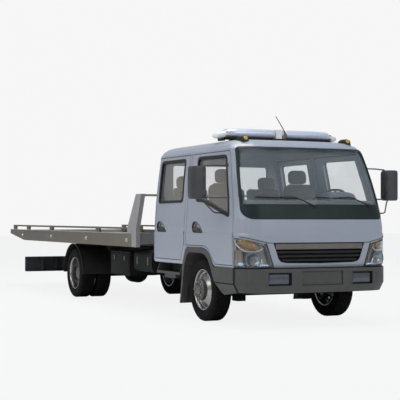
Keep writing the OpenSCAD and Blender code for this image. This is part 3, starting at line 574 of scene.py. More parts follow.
def frame_band(shape, place, inner, outer, lift, deep, parts=2):
    """Raised band between two outlines of like count, down to deep at the inner."""
    inner, outer = split_alike(inner, outer)
    levels = [(outer, -0.002), (outer, lift * 0.6)]
    for k in range(1, parts):
        levels.append(([(mix(b[0], a[0], k / parts), mix(b[1], a[1], k / parts))
                        for a, b in zip(inner, outer)], lift))
    levels += [(inner, lift * 0.8), (inner, -deep)]
    return shape.rings(place, levels)


def grown(points, by):
    """Outline moved outward by a distance; the outline may run either way."""
    count = len(points)
    area = sum(points[i - 1][0] * points[i][1] - points[i][0] * points[i - 1][1]
               for i in range(count))
    way = 1 if area > 0 else -1
    out = []
    for i in range(count):
        a, b, c = (Vector(points[(i + k) % count]) for k in (-1, 0, 1))
        n1 = Vector((b.y - a.y, a.x - b.x)).normalized() * way
        n2 = Vector((c.y - b.y, b.x - c.x)).normalized() * way
        n = n1 + n2
        n = n / max(n.length_squared / 2, 0.5)
        out.append((b.x + n.x * by, b.y + n.y * by))
    return out


# ---------------------------------------------------------------- wheels
WHEEL_Z = 0.375
FRONT_Y = 0.841
REAR_X = -4.510
REAR_YS = (0.928, 0.665)
# Profiles: radius and distance outward from the wheel's middle. In the tread, s marks
# the slotted shoulder and z the zigzag grooves.
TREAD = [
    (0.232, 0.088, ""), (0.243, 0.088, ""), (0.251, 0.101, ""), (0.259, 0.104, ""),
    (0.263, 0.109, ""), (0.272, 0.1125, ""), (0.286, 0.1155, ""), (0.304, 0.116, ""),
    (0.320, 0.1155, ""), (0.337, 0.1125, ""), (0.347, 0.109, "s"), (0.358, 0.103, "s"),
    (0.3695, 0.094, "s"), (0.3745, 0.082, "s"), (0.375, 0.060, "s"),
    (0.366, 0.057, "z"), (0.366, 0.049, "z"), (0.375, 0.046, "z"), (0.375, 0.024, "z"),
    (0.366, 0.021, "z"), (0.366, 0.013, "z"), (0.375, 0.010, "z"),
]


def tyre(shape, x, y):
    """Tyre with shoulder slots and three zigzag grooves."""
    count = 216
    slot_deep, zigzag = 0.007, 0.0028
    rows = []
    for i in range(count):
        a = 2 * math.pi * i / count
        slot = i % 6 == 0
        zig = zigzag * (1 if i % 12 < 6 else -1)
        row = []
        for side in (1, -1):
            for r, w, kind in TREAD[::side]:
                radius = r - (slot_deep if kind == "s" and slot else 0.0)
                across = side * w + (zig if kind == "z" else 0.0)
                row.append((x + radius * math.cos(a), y + across,
                            WHEEL_Z + radius * math.sin(a)))
        rows.append(row)
    return shape.grid(rows, 0, around=True, along=True)


FRONT_RIM = [
    (0.232, 0.088), (0.2425, 0.090), (0.2455, 0.096), (0.2425, 0.1005), (0.236, 0.100),
    (0.230, 0.094), (0.226, 0.080), (0.221, 0.058), (0.214, 0.051), (0.205, 0.0495),
    (0.190, 0.056), (0.170, 0.068), (0.150, 0.086), (0.138, 0.098), (0.129, 0.102),
    (0.129, 0.090), (0.138, 0.086), (0.150, 0.074), (0.170, 0.057), (0.190, 0.046),
    (0.205, 0.040), (0.216, 0.040),
    (0.216, -0.020), (0.205, -0.040), (0.214, -0.075), (0.226, -0.097),
    (0.2425, -0.100), (0.2425, -0.090), (0.232, -0.088), (0.222, -0.070),
    (0.213, -0.036), (0.224, -0.015), (0.226, 0.060),
]
FRONT_HUB = [
    (0.0, 0.020), (0.129, 0.020), (0.129, 0.142), (0.1275, 0.148), (0.122, 0.1535),
    (0.114, 0.1550), (0.088, 0.1550), (0.083, 0.152), (0.079, 0.144), (0.066, 0.143),
    (0.063, 0.146), (0.061, 0.158), (0.057, 0.1625), (0.045, 0.1650), (0.0, 0.1650),
]
REAR_RIM = [
    (0.232, 0.088), (0.2425, 0.090), (0.2455, 0.096), (0.2425, 0.1005), (0.236, 0.100),
    (0.230, 0.094), (0.226, 0.080), (0.222, 0.050), (0.219, 0.000), (0.214, -0.040),
    (0.206, -0.050), (0.190, -0.053), (0.165, -0.050), (0.145, -0.046),
    (0.097, -0.046), (0.097, -0.058), (0.145, -0.058), (0.190, -0.066),
    (0.210, -0.066), (0.219, -0.075), (0.232, -0.097), (0.2425, -0.100),
    (0.2425, -0.090), (0.232, -0.088), (0.226, -0.070), (0.229, 0.000),
]


def pierced(name, profile, x, y, hole_at, hole_r, holes, way, body, replaces, mats):
    """Rim turned from its profile, with a ring of round holes through its disc."""
    rim, cutter = Shape(), Shape()
    rim.spun(lambda p, q, h: (x + p, y + way * h, WHEEL_Z + q), profile, steps=96,
             closed=True)
    radius, across = hole_at
    for i in range(holes):
        a = 2 * math.pi * (i + 0.5) / holes
        out = Vector((math.cos(a), 0, math.sin(a)))
        flat = Vector((-math.sin(a), 0, math.cos(a)))
        loop = [2 * math.pi * k / 20 for k in range(20)]
        rows = [[
            Vector((x + radius * math.cos(a), y + way * across + level,
                    WHEEL_Z + radius * math.sin(a)))
            + hole_r[0] * math.cos(t) * flat + hole_r[1] * math.sin(t) * out
            for t in loop
        ] for level in (-0.05, 0.05)]
        cutter.grid(rows, 0, around=True, caps=True)
    obj = rim.make(name, mats, body, replaces=replaces)
    tool = cutter.make(name + "_cutter", mats, body)
    cut = obj.modifiers.new("holes", "BOOLEAN")
    cut.object = tool
    cut.solver = "EXACT"
    bpy.context.view_layer.update()
    depsgraph = bpy.context.evaluated_depsgraph_get()
    mesh = bpy.data.meshes.new_from_object(obj.evaluated_get(depsgraph))
    obj.modifiers.clear()
    obj.data = mesh
    mesh.shade_smooth()
    mesh.set_sharp_from_angle(angle=math.radians(SHARP))
    bpy.data.objects.remove(tool)
    return obj


def nut_ring(hub, centre, side, radius, count, size, height, dome=0.0, start=0.0):
    """Nuts in a circle on a wheel's outer side."""
    for i in range(count):
        a = 2 * math.pi * (i + start) / count
        where = (centre[0] + radius * math.cos(a), centre[1],
                 WHEEL_Z + radius * math.sin(a))
        hub.nut(where, (0, side, 0), size, height, 1, dome)


def make_wheels():
    for side, word in ((-1, "right"), (1, "left")):
        y = side * FRONT_Y
        body = f"front_{word}_wheel"
        tyre(Shape(), 0, y).make(f"front_tyre_{word}", [RUBBER], body,
                                 replaces=(f"tyre_front_{word}",))
        pierced(f"front_rim_{word}", FRONT_RIM, 0, y, (0.193, 0.05), (0.019, 0.0135), 10,
                side, body, (f"rim_front_{word}",), [RIM])
        hub = Shape().spun(lambda p, q, h: (p, y + side * h, WHEEL_Z + q), FRONT_HUB,
                           steps=80)
        nut_ring(hub, (0, y + side * 0.153), side, 0.101, 10, 0.0125, 0.015, 0.3)
        nut_ring(hub, (0, y + side * 0.1625), side, 0.048, 6, 0.005, 0.0022, start=0.5)
        hub.make(f"front_hub_{word}", [HUB, IRON_NUT], body)

        body = f"rear_{word}_wheels"
        pair = Shape()
        for y in REAR_YS:
            tyre(pair, REAR_X, side * y)
        pair.make(f"rear_tyres_{word}", [RUBBER], body, replaces=(f"tyres_rear_{word}",))
        outer, inner = REAR_YS
        for place, y, way, replaced, mat in (
                ("outer", outer, side, (f"rims_rear_{word}",), RIM),
                ("inner", inner, -side, (), STEEL)):
            pierced(f"rear_rim_{place}_{word}", REAR_RIM, REAR_X, side * y,
                    (0.188, -0.056), (0.020, 0.0145), 8, way, body, replaced, [mat])
        y0, y1 = inner - 0.055, outer - 0.046
        profile = [(0.0, y0), (0.095, y0)] + [
            (r, y1 + h) for r, h in ((0.095, 0.085), (0.090, 0.092), (0.074, 0.094),
                                     (0.070, 0.101), (0.052, 0.105), (0.0, 0.106))]
        hub = Shape().spun(lambda p, q, h: (REAR_X + p, side * h, WHEEL_Z + q), profile,
                           steps=72)
        nut_ring(hub, (REAR_X, side * (y1 - 0.002)), side, 0.119, 10, 0.0135, 0.019, 0.3)
        nut_ring(hub, (REAR_X, side * (y1 + 0.092)), side, 0.082, 8, 0.006, 0.006)
        hub.make(f"rear_hub_{word}", [HUB, IRON_NUT], body)


# --------------------------------------------------------------- windows
FRONT_WINDOW = [(-0.150, 1.450), (-0.213, 1.950), (0.541, 1.942), (0.712, 1.450),
                (0.742, 1.262), (0.059, 1.440)]
REAR_WINDOW = [(-1.300, 1.441), (-1.325, 1.945), (-0.600, 1.945), (-0.565, 1.444)]


def make_windows():
    for outline, name in ((FRONT_WINDOW, "front"), (REAR_WINDOW, "rear")):
        seal = Shape()
        frame_band(seal, on_side, fillet(grown(outline, -0.010), 0.045, 7),
                   fillet(grown(outline, 0.024), 0.065, 7), 0.006, 0.019)
        sides_of(seal, f"window_seal_{name}", [BLACK],
                 (f"{name}_right_door", f"{name}_left_door"), angle=40)

    # Windshield: rubber band round the glass and the black panel below it
    outlines = []
    for edge, radii in (
            ([(-0.909, 1.387), (-0.886, 1.689), (-0.832, 2.030)], [0.010, 0.15, 0.045]),
            ([(-0.938, 1.216), (-0.903, 1.689), (-0.850, 2.054)], [0.135, 0.15, 0.055])):
        outlines.append(fillet(edge + [(-y, z) for y, z in edge[::-1]],
                               radii + radii[::-1], 8))
    seal = Shape()
    frame_band(seal, on_nose, *outlines, 0.004, 0.019, parts=14)
    seal.make("windshield_seal", [FRIT], "chassis", angle=40)

    rear = rect(-0.710, 1.470, 0.710, 1.930)
    seal = Shape()
    frame_band(seal, lambda y, z, h: (-1.450 - h, y, z),
               fillet(grown(rear, -0.008), 0.05, 7), fillet(grown(rear, 0.022), 0.07, 7),
               0.005, 0.019)
    seal.make("rear_glass_seal", [BLACK], "chassis", angle=40)


# ----------------------------------------------------------------- nose
def make_grille():
    top, low = 0.945, 0.716
    grille = Shape()

    def half_at(z):
        if z < 0.770:
            return mix(0.470, 0.537, (z - 0.726) / 0.044) - 0.003
        return mix(0.537, 0.600, (z - 0.770) / 0.177) - 0.003

    def bar(z0, z1, lift, finish):
        """Slat across the grille, rounded in front."""
        soft, deep = 0.006, 0.03
        reach = half_at(z0)
        section = [(0, z0, -deep), (0, z0, lift - soft), (0, z0 + soft, lift),
                   (0, z1 - soft, lift), (0, z1, lift - soft), (0, z1, -deep)]
        grille.strip(on_nose, [(reach * (i / 12 - 1), 0) for i in range(25)], section,
                     finish)

    bar(0.878, 0.944, 0.002, 0)
    for z in (0.835, 0.789, 0.743):
        bar(z - 0.001, z + 0.024, -0.004, 1)
    # Frame, with the backing and thin uprights in painted shadow black
    side = [(-0.505, 0.738), (-0.537, 0.770), (-0.600, 0.947)]
    edge = [(0.0, low), (-0.440, 0.724), *side, *[(-y, z) for y, z in side[::-1]],
            (0.440, 0.724)]
    outline = fillet(edge, 0.010, 4)
    inner = fillet(grown(edge, -0.007), 0.008, 4)
    grille.rings(on_nose, ((outline, -0.040), (outline, 0.000), (inner, 0.002),
                           (inner, -0.036)), 1)
    back = []
    for i in range(13):
        z = mix(low, top, i / 12)
        reach = half_at(max(z, 0.73)) + 0.006
        back.append([on_nose(reach * (k / 12 - 1), z, -0.038) for k in range(25)])
    grille.grid(back, 2)
    for i in range(31):
        y = -0.56 + 1.12 * i / 30
        foot = 0.725 if abs(y) < 0.43 else 0.80
        grille.tube([on_nose(y, z, -0.033) for z in (foot, 0.88)], 0.0025, 2, 5)
    grille.make("grille_dressed", [GRILLE_BAR, BLACK, VOID], "chassis", bevel=0.0015,
                replaces=("grille",))

    # Painted shadow of the shut line over the grille, rising over the headlights
    line = Shape()
    points = []
    for i in range(61):
        y = -0.985 + 1.97 * i / 60
        points.append((y, 0.951 + max(0.0, abs(y) - 0.66) * 0.235))
    line.strip(on_nose, points, ((0, -0.0035, -0.003), (0, -0.0035, 0.0025),
                                 (0, 0.0035, 0.0025), (0, 0.0035, -0.003)))
    line.make("nose_seam_shadow", [VOID], "chassis")


LAMP_X = 0.886


def lamp_inner(z):
    return mix(0.603, 0.695, (z - 0.674) / 0.272)


def lamp_point(u, v, lift):
    """Point of a headlight: u from its inner to its outer edge, v upward."""
    def at(z, h):
        s0, s1 = nose_distance(z, y=lamp_inner(z)), nose_distance(z, x=LAMP_X)
        return along_nose(mix(s0, s1, u), z, h)

    z = 0.680 + v * 0.27
    for _ in range(3):
        top = 0.943 + max(0.0, abs(at(z, 0).y) - 0.690) * 0.235
        z = mix(0.680, min(top, 1.012), v)
    return at(z, lift)


def lamp_axes(u, v, lift):
    """Placing function of a round lamp that faces forward out of the headlight."""
    here = lamp_point(u, v, lift)
    across = lamp_point(min(u + 0.02, 1), v, lift) - lamp_point(max(u - 0.02, 0), v, lift)
    up = Vector((0, 0, 1))
    out = across.normalized().cross(up)
    if out.x < 0:
        out = -out
    out = (out.normalized() + Vector((0.9, 0, 0))).normalized()
    across = out.cross(up).normalized()
    return lambda p, q, h: here + across * p + up * q + out * h


def patch(shape, outline, edge, middle, finish, rings=6):
    """Bulged patch over a closed outline of headlight points."""
    count = len(outline)
    u0 = sum(u for u, v in outline) / count
    v0 = sum(v for u, v in outline) / count
    rows = []
    for k in range(rings):
        size = 1 - k / rings
        lift = middle + (edge - middle) * size ** 3
        rows.append([lamp_point(mix(u0, u, size), mix(v0, v, size), lift)
                     for u, v in outline])
    shape.grid(rows, finish, around=True)
    shape.add(rows[-1], [tuple(range(count))], finish)


# Outlines and lines of a headlight's parts: share of its width from the inner
# edge, share of its height
TURN_LENS = [(0.965, 0.89), (0.83, 0.93), (0.55, 0.955), (0.32, 0.92), (0.255, 0.82),
             (0.28, 0.69), (0.47, 0.63), (0.68, 0.69), (0.83, 0.765), (0.91, 0.83)]
BROW = [(0.965, 0.83), (0.90, 0.755), (0.79, 0.665), (0.70, 0.600), (0.61, 0.565),
        (0.52, 0.570), (0.44, 0.585), (0.34, 0.600), (0.25, 0.635), (0.16, 0.710),
        (0.10, 0.80)]


def make_headlights():
    # Back wall and the rim round the opening
    body = Shape()
    back = [[lamp_point(u / 20, v / 10, -0.075) for u in range(21)] for v in range(11)]
    body.grid(back, 0)
    edge = ([(u / 20, 0) for u in range(21)] + [(1, v / 10) for v in range(1, 11)]
            + [(u / 20, 1) for u in range(19, -1, -1)]
            + [(0, v / 10) for v in range(9, 0, -1)])
    rows = [[lamp_point(min(max(u, inset), 1 - inset * 0.6),
                        min(max(v, inset), 1 - inset), lift) for u, v in edge]
            for lift, inset in ((-0.075, 0.0), (-0.006, 0.0), (-0.006, 0.03),
                                (-0.030, 0.05))]
    body.grid(rows[:2], 0, around=True)
    # The outer and the upper edge are bright
    body.grid([row[20:51] for row in rows[1:]], 5)
    body.grid([row[50:] + row[:21] for row in rows[1:]], 0)
    # Stepped panel behind the lamps
    rows = []
    for v in range(13):
        row = []
        for u in range(29):
            step = 0.010 * (0.5 + 0.5 * math.sin(u * 0.9)) * (0.5 + 0.5 * math.cos(v * 0.5))
            row.append(lamp_point(u / 28, 0.02 + 0.93 * v / 12, -0.058 + step))
        rows.append(row)
    body.grid(rows, 0)
    # Large bowl with its bulb cap, and its dark ring
    radius, depth, cap = 0.074, 0.046, 0.012
    profile = [(radius + 0.010, -0.004), (radius + 0.010, 0.0), (radius, 0.0)]
    for i in range(1, 9):
        r = mix(radius, cap, i / 8)
        profile.append((r, -depth * (1 - (r / radius) ** 2)))
    place = lamp_axes(0.44, 0.27, -0.026)
    body.spun(place, profile + [(0.0, -depth)], 1, 40)
    body.spun(place, [(0.013, -depth), (0.013, -depth * 0.45), (0.009, -depth * 0.32),
                      (0.0, -depth * 0.28)], 1)
    body.spun(lamp_axes(0.44, 0.27, -0.022), [(0.084, -0.012), (0.088, -0.002),
                                              (0.092, -0.002), (0.096, -0.012)], 0, 40)
    # Outer column: an upright half-round trough with a painted bluish glint at its foot
    rows = []
    for i in range(13):
        t = i / 12
        lift = -0.014 - 0.034 * math.sin(math.pi * t)
        rows.append([lamp_point(mix(0.94, 0.68, t), 0.06 + 0.52 * v / 10, lift)
                     for v in range(11)])
    body.grid(rows, 3)
    patch(body, [(0.79 + 0.115 * math.cos(a), 0.105 + 0.060 * math.sin(a))
                 for a in (2 * math.pi * k / 20 for k in range(20))], -0.034, -0.014, 4)
    # Inner bar, painted as a bluish glint, and its upright
    patch(body, [(0.30, 0.060), (0.28, 0.125), (0.07, 0.115), (0.05, 0.055)], -0.030,
          -0.014, 4)
    patch(body, [(0.245, 0.13), (0.240, 0.32), (0.200, 0.33), (0.195, 0.13)], -0.030,
          -0.018, 5)
    # Bright brow under the turn lens
    line = [(mix(u0, u1, k / 4), mix(v0, v1, k / 4))
            for (u0, v0), (u1, v1) in zip(BROW, BROW[1:]) for k in range(4)]
    body.strip(lamp_point, line + [BROW[-1]],
               ((0, -0.030, -0.050), (0, -0.026, -0.018), (0, 0, -0.010),
                (0, 0.022, -0.018), (0, 0.026, -0.050)), 5)
    sides_of(body, "headlight_body", [LAMP_GREY, REFLECTOR, CHROME, COLUMN, PAINTED_GLINT,
                                      BROW_METAL],
             ("chassis", "chassis"), replaces=(("headlights",), ()))

    amber = Shape()
    patch(amber, fillet(TURN_LENS, 0.05, 3), -0.040, -0.022, 0, 8)
    sides_of(amber, "turn_lens", [AMBER], ("chassis", "chassis"), thick=0.004, angle=60)

    cover = Shape()
    cover.grid([[lamp_point(0.01 + 0.98 * u / 24, 0.012 + 0.976 * v / 12, -0.0035)
                 for u in range(25)] for v in range(13)], 0)
    sides_of(cover, "headlight_cover", [LENS], ("chassis", "chassis"), thick=0.003,
             angle=60)

    # Painted shadow in the gaps round the lamps and along the nose's lower edge
    seam = Shape()
    heights = [mix(0.668, 0.950, i / 14) for i in range(15)]
    seam.strip(on_nose, [(-mix(0.598, 0.690, (z - 0.674) / 0.272), z) for z in heights],
               ((0.0015, 0, -0.004), (0.0015, 0, 0.0025), (0.0100, 0, 0.0025),
                (0.0100, 0, -0.004)))
    seam.both()
    reach = nose_distance(0.670, x=0.880)
    seam.strip(lambda s, z, h: along_nose(abs(s), z, h, 1 if s > 0 else -1),
               [(reach * (2 * i / 60 - 1), 0) for i in range(61)],
               ((0, 0.6655, -0.004), (0, 0.6655, 0.003), (0, 0.6735, 0.003),
                (0, 0.6735, -0.004)))
    seam.make("lamp_gap_shadows", [VOID], "chassis")


BUMPER_FRONT = front_line(1.199, 0.9975, 0.340)


def on_bumper(y, z, h):
    """Point of the bumper's front face, h ahead of it."""
    side = -1 if y < 0 else 1
    far = abs(y)
    for (x0, y0), (x1, y1) in zip(BUMPER_FRONT, BUMPER_FRONT[1:]):
        if far <= y1:
            return (mix(x0, x1, (far - y0) / (y1 - y0)) + h, y, z)
    return (BUMPER_FRONT[-1][0] + h, side * far, z)


def make_bumper_trim():
    """Fog lamps in the two recesses, blank plate holder and painted shadow in the grooves by
    the skirts.
    """
    trim = Shape()
    for side in (-1, 1):
        def at(y, z, h, side=side):
            return on_bumper(side * y, z, h)

        outer = fillet(rect(0.394, 0.470, 0.690, 0.625), 0.012, 4)
        inner = fillet(rect(0.408, 0.484, 0.676, 0.611), 0.010, 4)
        edge = grown(outer, -0.006)
        trim.rings(at, ((outer, -0.010), (outer, 0.0012), (grown(outer, -0.005), 0.0012),
                        (edge, -0.002)), 0)
        # Walls and back of the recess in black trim, darker than the bumper: painted shade
        # of the recess
        trim.rings(at, ((edge, -0.002), (inner, -0.042)), 1)
        trim.grid([[at(y, z, -0.043) for y in (0.40, 0.54, 0.68)] for z in (0.48, 0.62)], 1)
        # Lamp glass across the back of the recess
        lens = fillet(rect(0.416, 0.488, 0.668, 0.604), 0.02, 5)
        trim.rings(at, ((lens, -0.042), (lens, -0.030), (grown(lens, -0.008), -0.026)), 2)
        ribs = []
        for i in range(41):
            y = 0.424 + 0.236 * i / 40
            lift = -0.026 + (0.0015 if i % 2 else 0.0)
            ribs.append([at(y, z, lift + bow) for z, bow in
                         ((0.496, -0.001), (0.520, 0.003), (0.546, 0.0045),
                          (0.572, 0.003), (0.596, -0.001))])
        trim.grid(ribs, 2)
    trim.make("fog_lamps", [DARK, BLACK, FOG_LENS], "chassis")

    # Blank plate with its edge, in the shallow recess
    holder = Shape()

    def ahead(y, z, h):
        return (1.178 + h, y, z)

    outer = fillet(rect(-0.262, 0.480, 0.262, 0.624), 0.008, 3)
    inner = grown(outer, -0.007)
    holder.rings(ahead, ((outer, -0.001), (outer, 0.006), (inner, 0.006), (inner, 0.003)))
    holder.cover(ahead, inner, 0.003)
    for y in (-0.18, 0.18):
        holder.nut(ahead(y, 0.552, 0.003), (1, 0, 0), 0.006, 0.003)
    holder.make("plate_holder", [DARK], "chassis")

    # Painted shadow in the grooves between the bumper and the skirts, and along the skirts
    joint = Shape()
    upright = [(0.665, 0.0), (0.487, 0.0), (0.391, -0.048)]
    joint.grid([[(x, y - 0.0012 - dy, z) for z, dy in upright] for x, y in (
        (0.899, -0.990), (0.900, -0.9935), (0.907, -0.9935), (0.918, -0.9895),
        (0.930, -0.9870), (0.931, -0.983))])
    joint.strip(lambda x, z, y: (x, -y, z), [(0.446, 0), (0.904, 0)],
                ((0, 0.479, 0.985), (0, 0.479, 0.9932), (0, 0.495, 0.9932),
                 (0, 0.495, 0.990)))
    joint.both()
    joint.make("bumper_groove_shadows", [VOID], "chassis")


# ---------------------------------------------------------- sides and roof
# Cup of a door handle: outline from its lower rear corner
HANDLE_EDGE = [(0.0, 0.070), (0.008, 0.098), (0.026, 0.118), (0.052, 0.129), (0.090, 0.130),
               (0.140, 0.118), (0.196, 0.092), (0.246, 0.054), (0.288, 0.0), (0.036, 0.0),
               (0.012, 0.018)]


def make_handles():
    """D-shaped cup let into each door, with its pull lever and lock."""
    for left, low, name in ((-0.228, 1.057, "front"), (-1.325, 1.057, "rear")):
        outline = fillet([(left + x, low + z) for x, z in HANDLE_EDGE], 0.010, 3)
        cup = Shape()
        cup.rings(on_side, [(grown(outline, by), h) for by, h in
                            ((0.004, 0.0005), (0.003, 0.0035), (-0.003, 0.0035),
                             (-0.005, 0.001), (-0.007, -0.012))], 1)
        cup.cover(on_side, grown(outline, -0.007), -0.012, 0)
        # Pull lever across the lower half, hinged at its front end
        rows = []
        for i in range(15):
            t = i / 14
            x = mix(left + 0.026, left + 0.205, t)
            middle = low + 0.036 - 0.006 * t
            lift = -0.004 + 0.010 * math.sin(math.pi * t) ** 0.5
            half = 0.015 - 0.004 * t
            rows.append([on_side(x, middle + half * up, lift + dh) for up, dh in
                         ((-1, -0.006), (-0.8, 0.002), (0.8, 0.002), (1, -0.006))])
        cup.grid(rows, 2, around=True, caps=True)
        x, y, z = on_side(left + 0.060, low + 0.088, -0.011)
        cup.spun(lambda p, q, h: (x + p, y - h, z + q),
                 [(0.012, 0.0), (0.012, 0.005), (0.009, 0.006), (0.0, 0.006)], 3)
        sides_of(cup, f"handle_{name}", [HANDLE, BLACK, SHELL, STEEL],
                 (f"{name}_right_door", f"{name}_left_door"))


def oval(half_u, half_v, power, count):
    """Closed curve between a circle, power 1, and its box, power 0."""
    out = []
    for k in range(count):
        a = 2 * math.pi * k / count
        c, s = math.cos(a), math.sin(a)
        out.append((half_u * math.copysign(abs(c) ** power, c),
                    half_v * math.copysign(abs(s) ** power, s)))
    return out


def make_mirrors():
    shape = Shape()
    centre_x, centre_y, half_x, half_y = 0.622, -1.306, 0.068, 0.098
    rows = []
    for z, size in ((1.446, 0.70), (1.449, 0.86), (1.458, 0.95), (1.480, 1.0), (1.62, 1.0),
                    (1.785, 1.0), (1.807, 0.95), (1.816, 0.86), (1.819, 0.70)):
        row = []
        for x, y in oval(half_x * size, half_y * size, 0.45, 40):
            if x > 0:
                x *= 1.0 - 0.22 * (y / half_y) ** 2
            row.append((centre_x + x, centre_y + y, z))
        rows.append(row)
    shape.grid(rows, 0, around=True, caps=True)

    def behind(y, z, h):
        return (centre_x - half_x + h, y, z)

    # Glass set in a lip on the rear face
    lip = fillet(rect(-1.392, 1.462, -1.220, 1.804), 0.03, 6)
    face = grown(lip, -0.009)
    shape.rings(behind, ((lip, 0.004), (lip, -0.0015), (grown(lip, -0.007), -0.0015),
                         (face, 0.001)))
    shape.cover(behind, face, 0.0005, 1)
    # Arms, their feet on the door and the clamps
    for arm in (((0.626, -1.238, 1.790), (0.626, -1.222, 1.822), (0.618, -1.10, 1.832),
                 (0.606, -0.925, 1.834)),
                ((0.626, -1.235, 1.456), (0.636, -1.205, 1.461), (0.690, -1.03, 1.461),
                 (0.722, -0.966, 1.461)),
                ((0.630, -1.268, 1.450), (0.650, -1.240, 1.418), (0.734, -1.158, 1.302),
                 (0.735, -1.135, 1.291), (0.575, -0.985, 1.289), (0.556, -0.968, 1.289))):
        shape.tube(arm, 0.0085)
    for x, y, z, r in ((0.606, -0.905, 1.834, 0.024), (0.724, -0.944, 1.461, 0.024),
                       (0.556, -0.956, 1.289, 0.020)):
        shape.spun(lambda p, q, h: (x + p, y - h, z + q),
                   [(r, -0.014), (r, 0.006), (r * 0.8, 0.012), (0.012, 0.016),
                    (0.0, 0.016)], 0, 24)
    for z in (1.535, 1.730):
        shape.box((0.612, -1.272, z - 0.034), (0.690, -1.226, z + 0.034), 0)
    sides_of(shape, "mirror_dressed", [SHELL, MIRROR],
             ("front_right_door", "front_left_door"), bevel=0.0015,
             replaces=(("mirror_right",), ("mirror_left",)))


def make_wipers():
    """Two arms with their blades on the glass. Columns: spindle, elbow, blade ends."""
    shape = Shape()
    for pivot, elbow, low, high in (
        ((0.703, 1.378), (0.454, 1.471), (0.500, 1.452), (0.009, 1.467)),
        ((-0.050, 1.366), (-0.300, 1.471), (-0.255, 1.452), (-0.775, 1.467)),
    ):
        x, y, z = on_nose(*pivot, 0.006)
        shape.spun(lambda p, q, h: (x + h, y + p, z + q),
                   [(0.021, -0.012), (0.021, 0.012), (0.016, 0.019), (0.0, 0.021)])
        mid = ((low[0] + high[0]) / 2, (low[1] + high[1]) / 2)
        arm = [on_nose(*pivot, 0.016), on_nose(*elbow, 0.026),
               on_nose(mix(elbow[0], mid[0], 0.5), mix(elbow[1], mid[1], 0.5) + 0.006,
                       0.025),
               on_nose(mid[0], mid[1] + 0.004, 0.016)]
        shape.tube(arm, [0.0085, 0.0075, 0.006, 0.005], 0, 8)
        rows = []
        for i in range(15):
            y, z = mix(low[0], high[0], i / 14), mix(low[1], high[1], i / 14)
            rows.append([on_nose(y, z + dz, lift) for dz, lift in
                         ((-0.001, -0.017), (-0.005, -0.004), (-0.005, 0.002),
                          (0.005, 0.002), (0.005, -0.004), (0.001, -0.017))])
        shape.grid(rows, 1, around=True, caps=True)
        shape.strip(on_nose, [(mid[0] + dy, mid[1]) for dy in (-0.03, 0.03)],
                    ((0, -0.008, 0.0), (0, -0.008, 0.014), (0, 0.008, 0.014),
                     (0, 0.008, 0.0)))
    shape.make("wipers_dressed", [BLACK, RUBBER], "chassis", replaces=("wipers",))


def loft(shape, place, stations, power, finish=0, count=32):
    """Rounded sections at stations of (along, half width, low, high)."""
    shape.grid([[place(along, a, (low + high) / 2 + b)
                 for a, b in oval(half, (high - low) / 2, power, count)]
                for along, half, low, high in stations], finish, around=True, caps=True)


def make_light_bar():
    """Two long silver covers, a pale square box between them and clear end caps."""
    shape, glow = Shape(), Shape()
    x = 0.090
    for side in (-1, 1):
        def across(y, a, z, side=side):
            return (x + a, side * y, z)

        loft(shape, across, (
            (0.078, 0.128, 2.196, 2.304), (0.084, 0.136, 2.192, 2.308),
            (0.35, 0.138, 2.191, 2.309), (0.60, 0.136, 2.191, 2.306),
            (0.675, 0.128, 2.192, 2.300), (0.700, 0.112, 2.193, 2.288)), 0.80, 0)
        loft(shape, across, (
            (0.701, 0.110, 2.194, 2.284), (0.730, 0.108, 2.188, 2.272),
            (0.780, 0.100, 2.182, 2.260), (0.820, 0.078, 2.184, 2.250),
            (0.840, 0.046, 2.192, 2.236), (0.847, 0.018, 2.204, 2.224)), 0.80, 1)
        # Feet with amber side repeaters
        for y, half, x0, x1, z0, z1, finish in (
                (0.590, 0.022, 0.030, 0.150, 2.155, 2.196, 2),
                (0.740, 0.022, 0.030, 0.150, 2.155, 2.196, 2),
                (0.690, 0.035, 0.000, 0.180, 2.176, 2.193, 2),
                (0.716, 0.014, 0.110, 0.196, 2.200, 2.262, 3)):
            shape.box((x0, side * y - half, z0), (x1, side * y + half, z1), finish)
        # Lamp units seen through the end caps
        for r, y in ((0.034, 0.735), (0.030, 0.785)):
            glow.spun(lambda p, q, h: (x + p, side * (y + h), 2.222 + 0.8 * q),
                      [(0.0, 0.0), (r, 0.006), (r, 0.010), (0.0, 0.016)])
    shape.box((-0.030, -0.700, 2.178), (0.210, 0.700, 2.193), 2)
    shape.box((-0.034, -0.060, 2.193), (0.216, 0.020, 2.306), 4)
    shape.box((0.020, 0.024, 2.235), (0.190, 0.060, 2.300), 0)
    shape.box((0.020, 0.024, 2.193), (0.205, 0.074, 2.226), 3)
    shape.make("light_bar_dressed", [BAR_COVER, CLEAR_CAP, BLACK, AMBER, WHITE_BOX],
               "chassis", bevel=0.003, replaces=("light_bar",))
    glow.make("beacon_cores", [CHROME], "chassis")


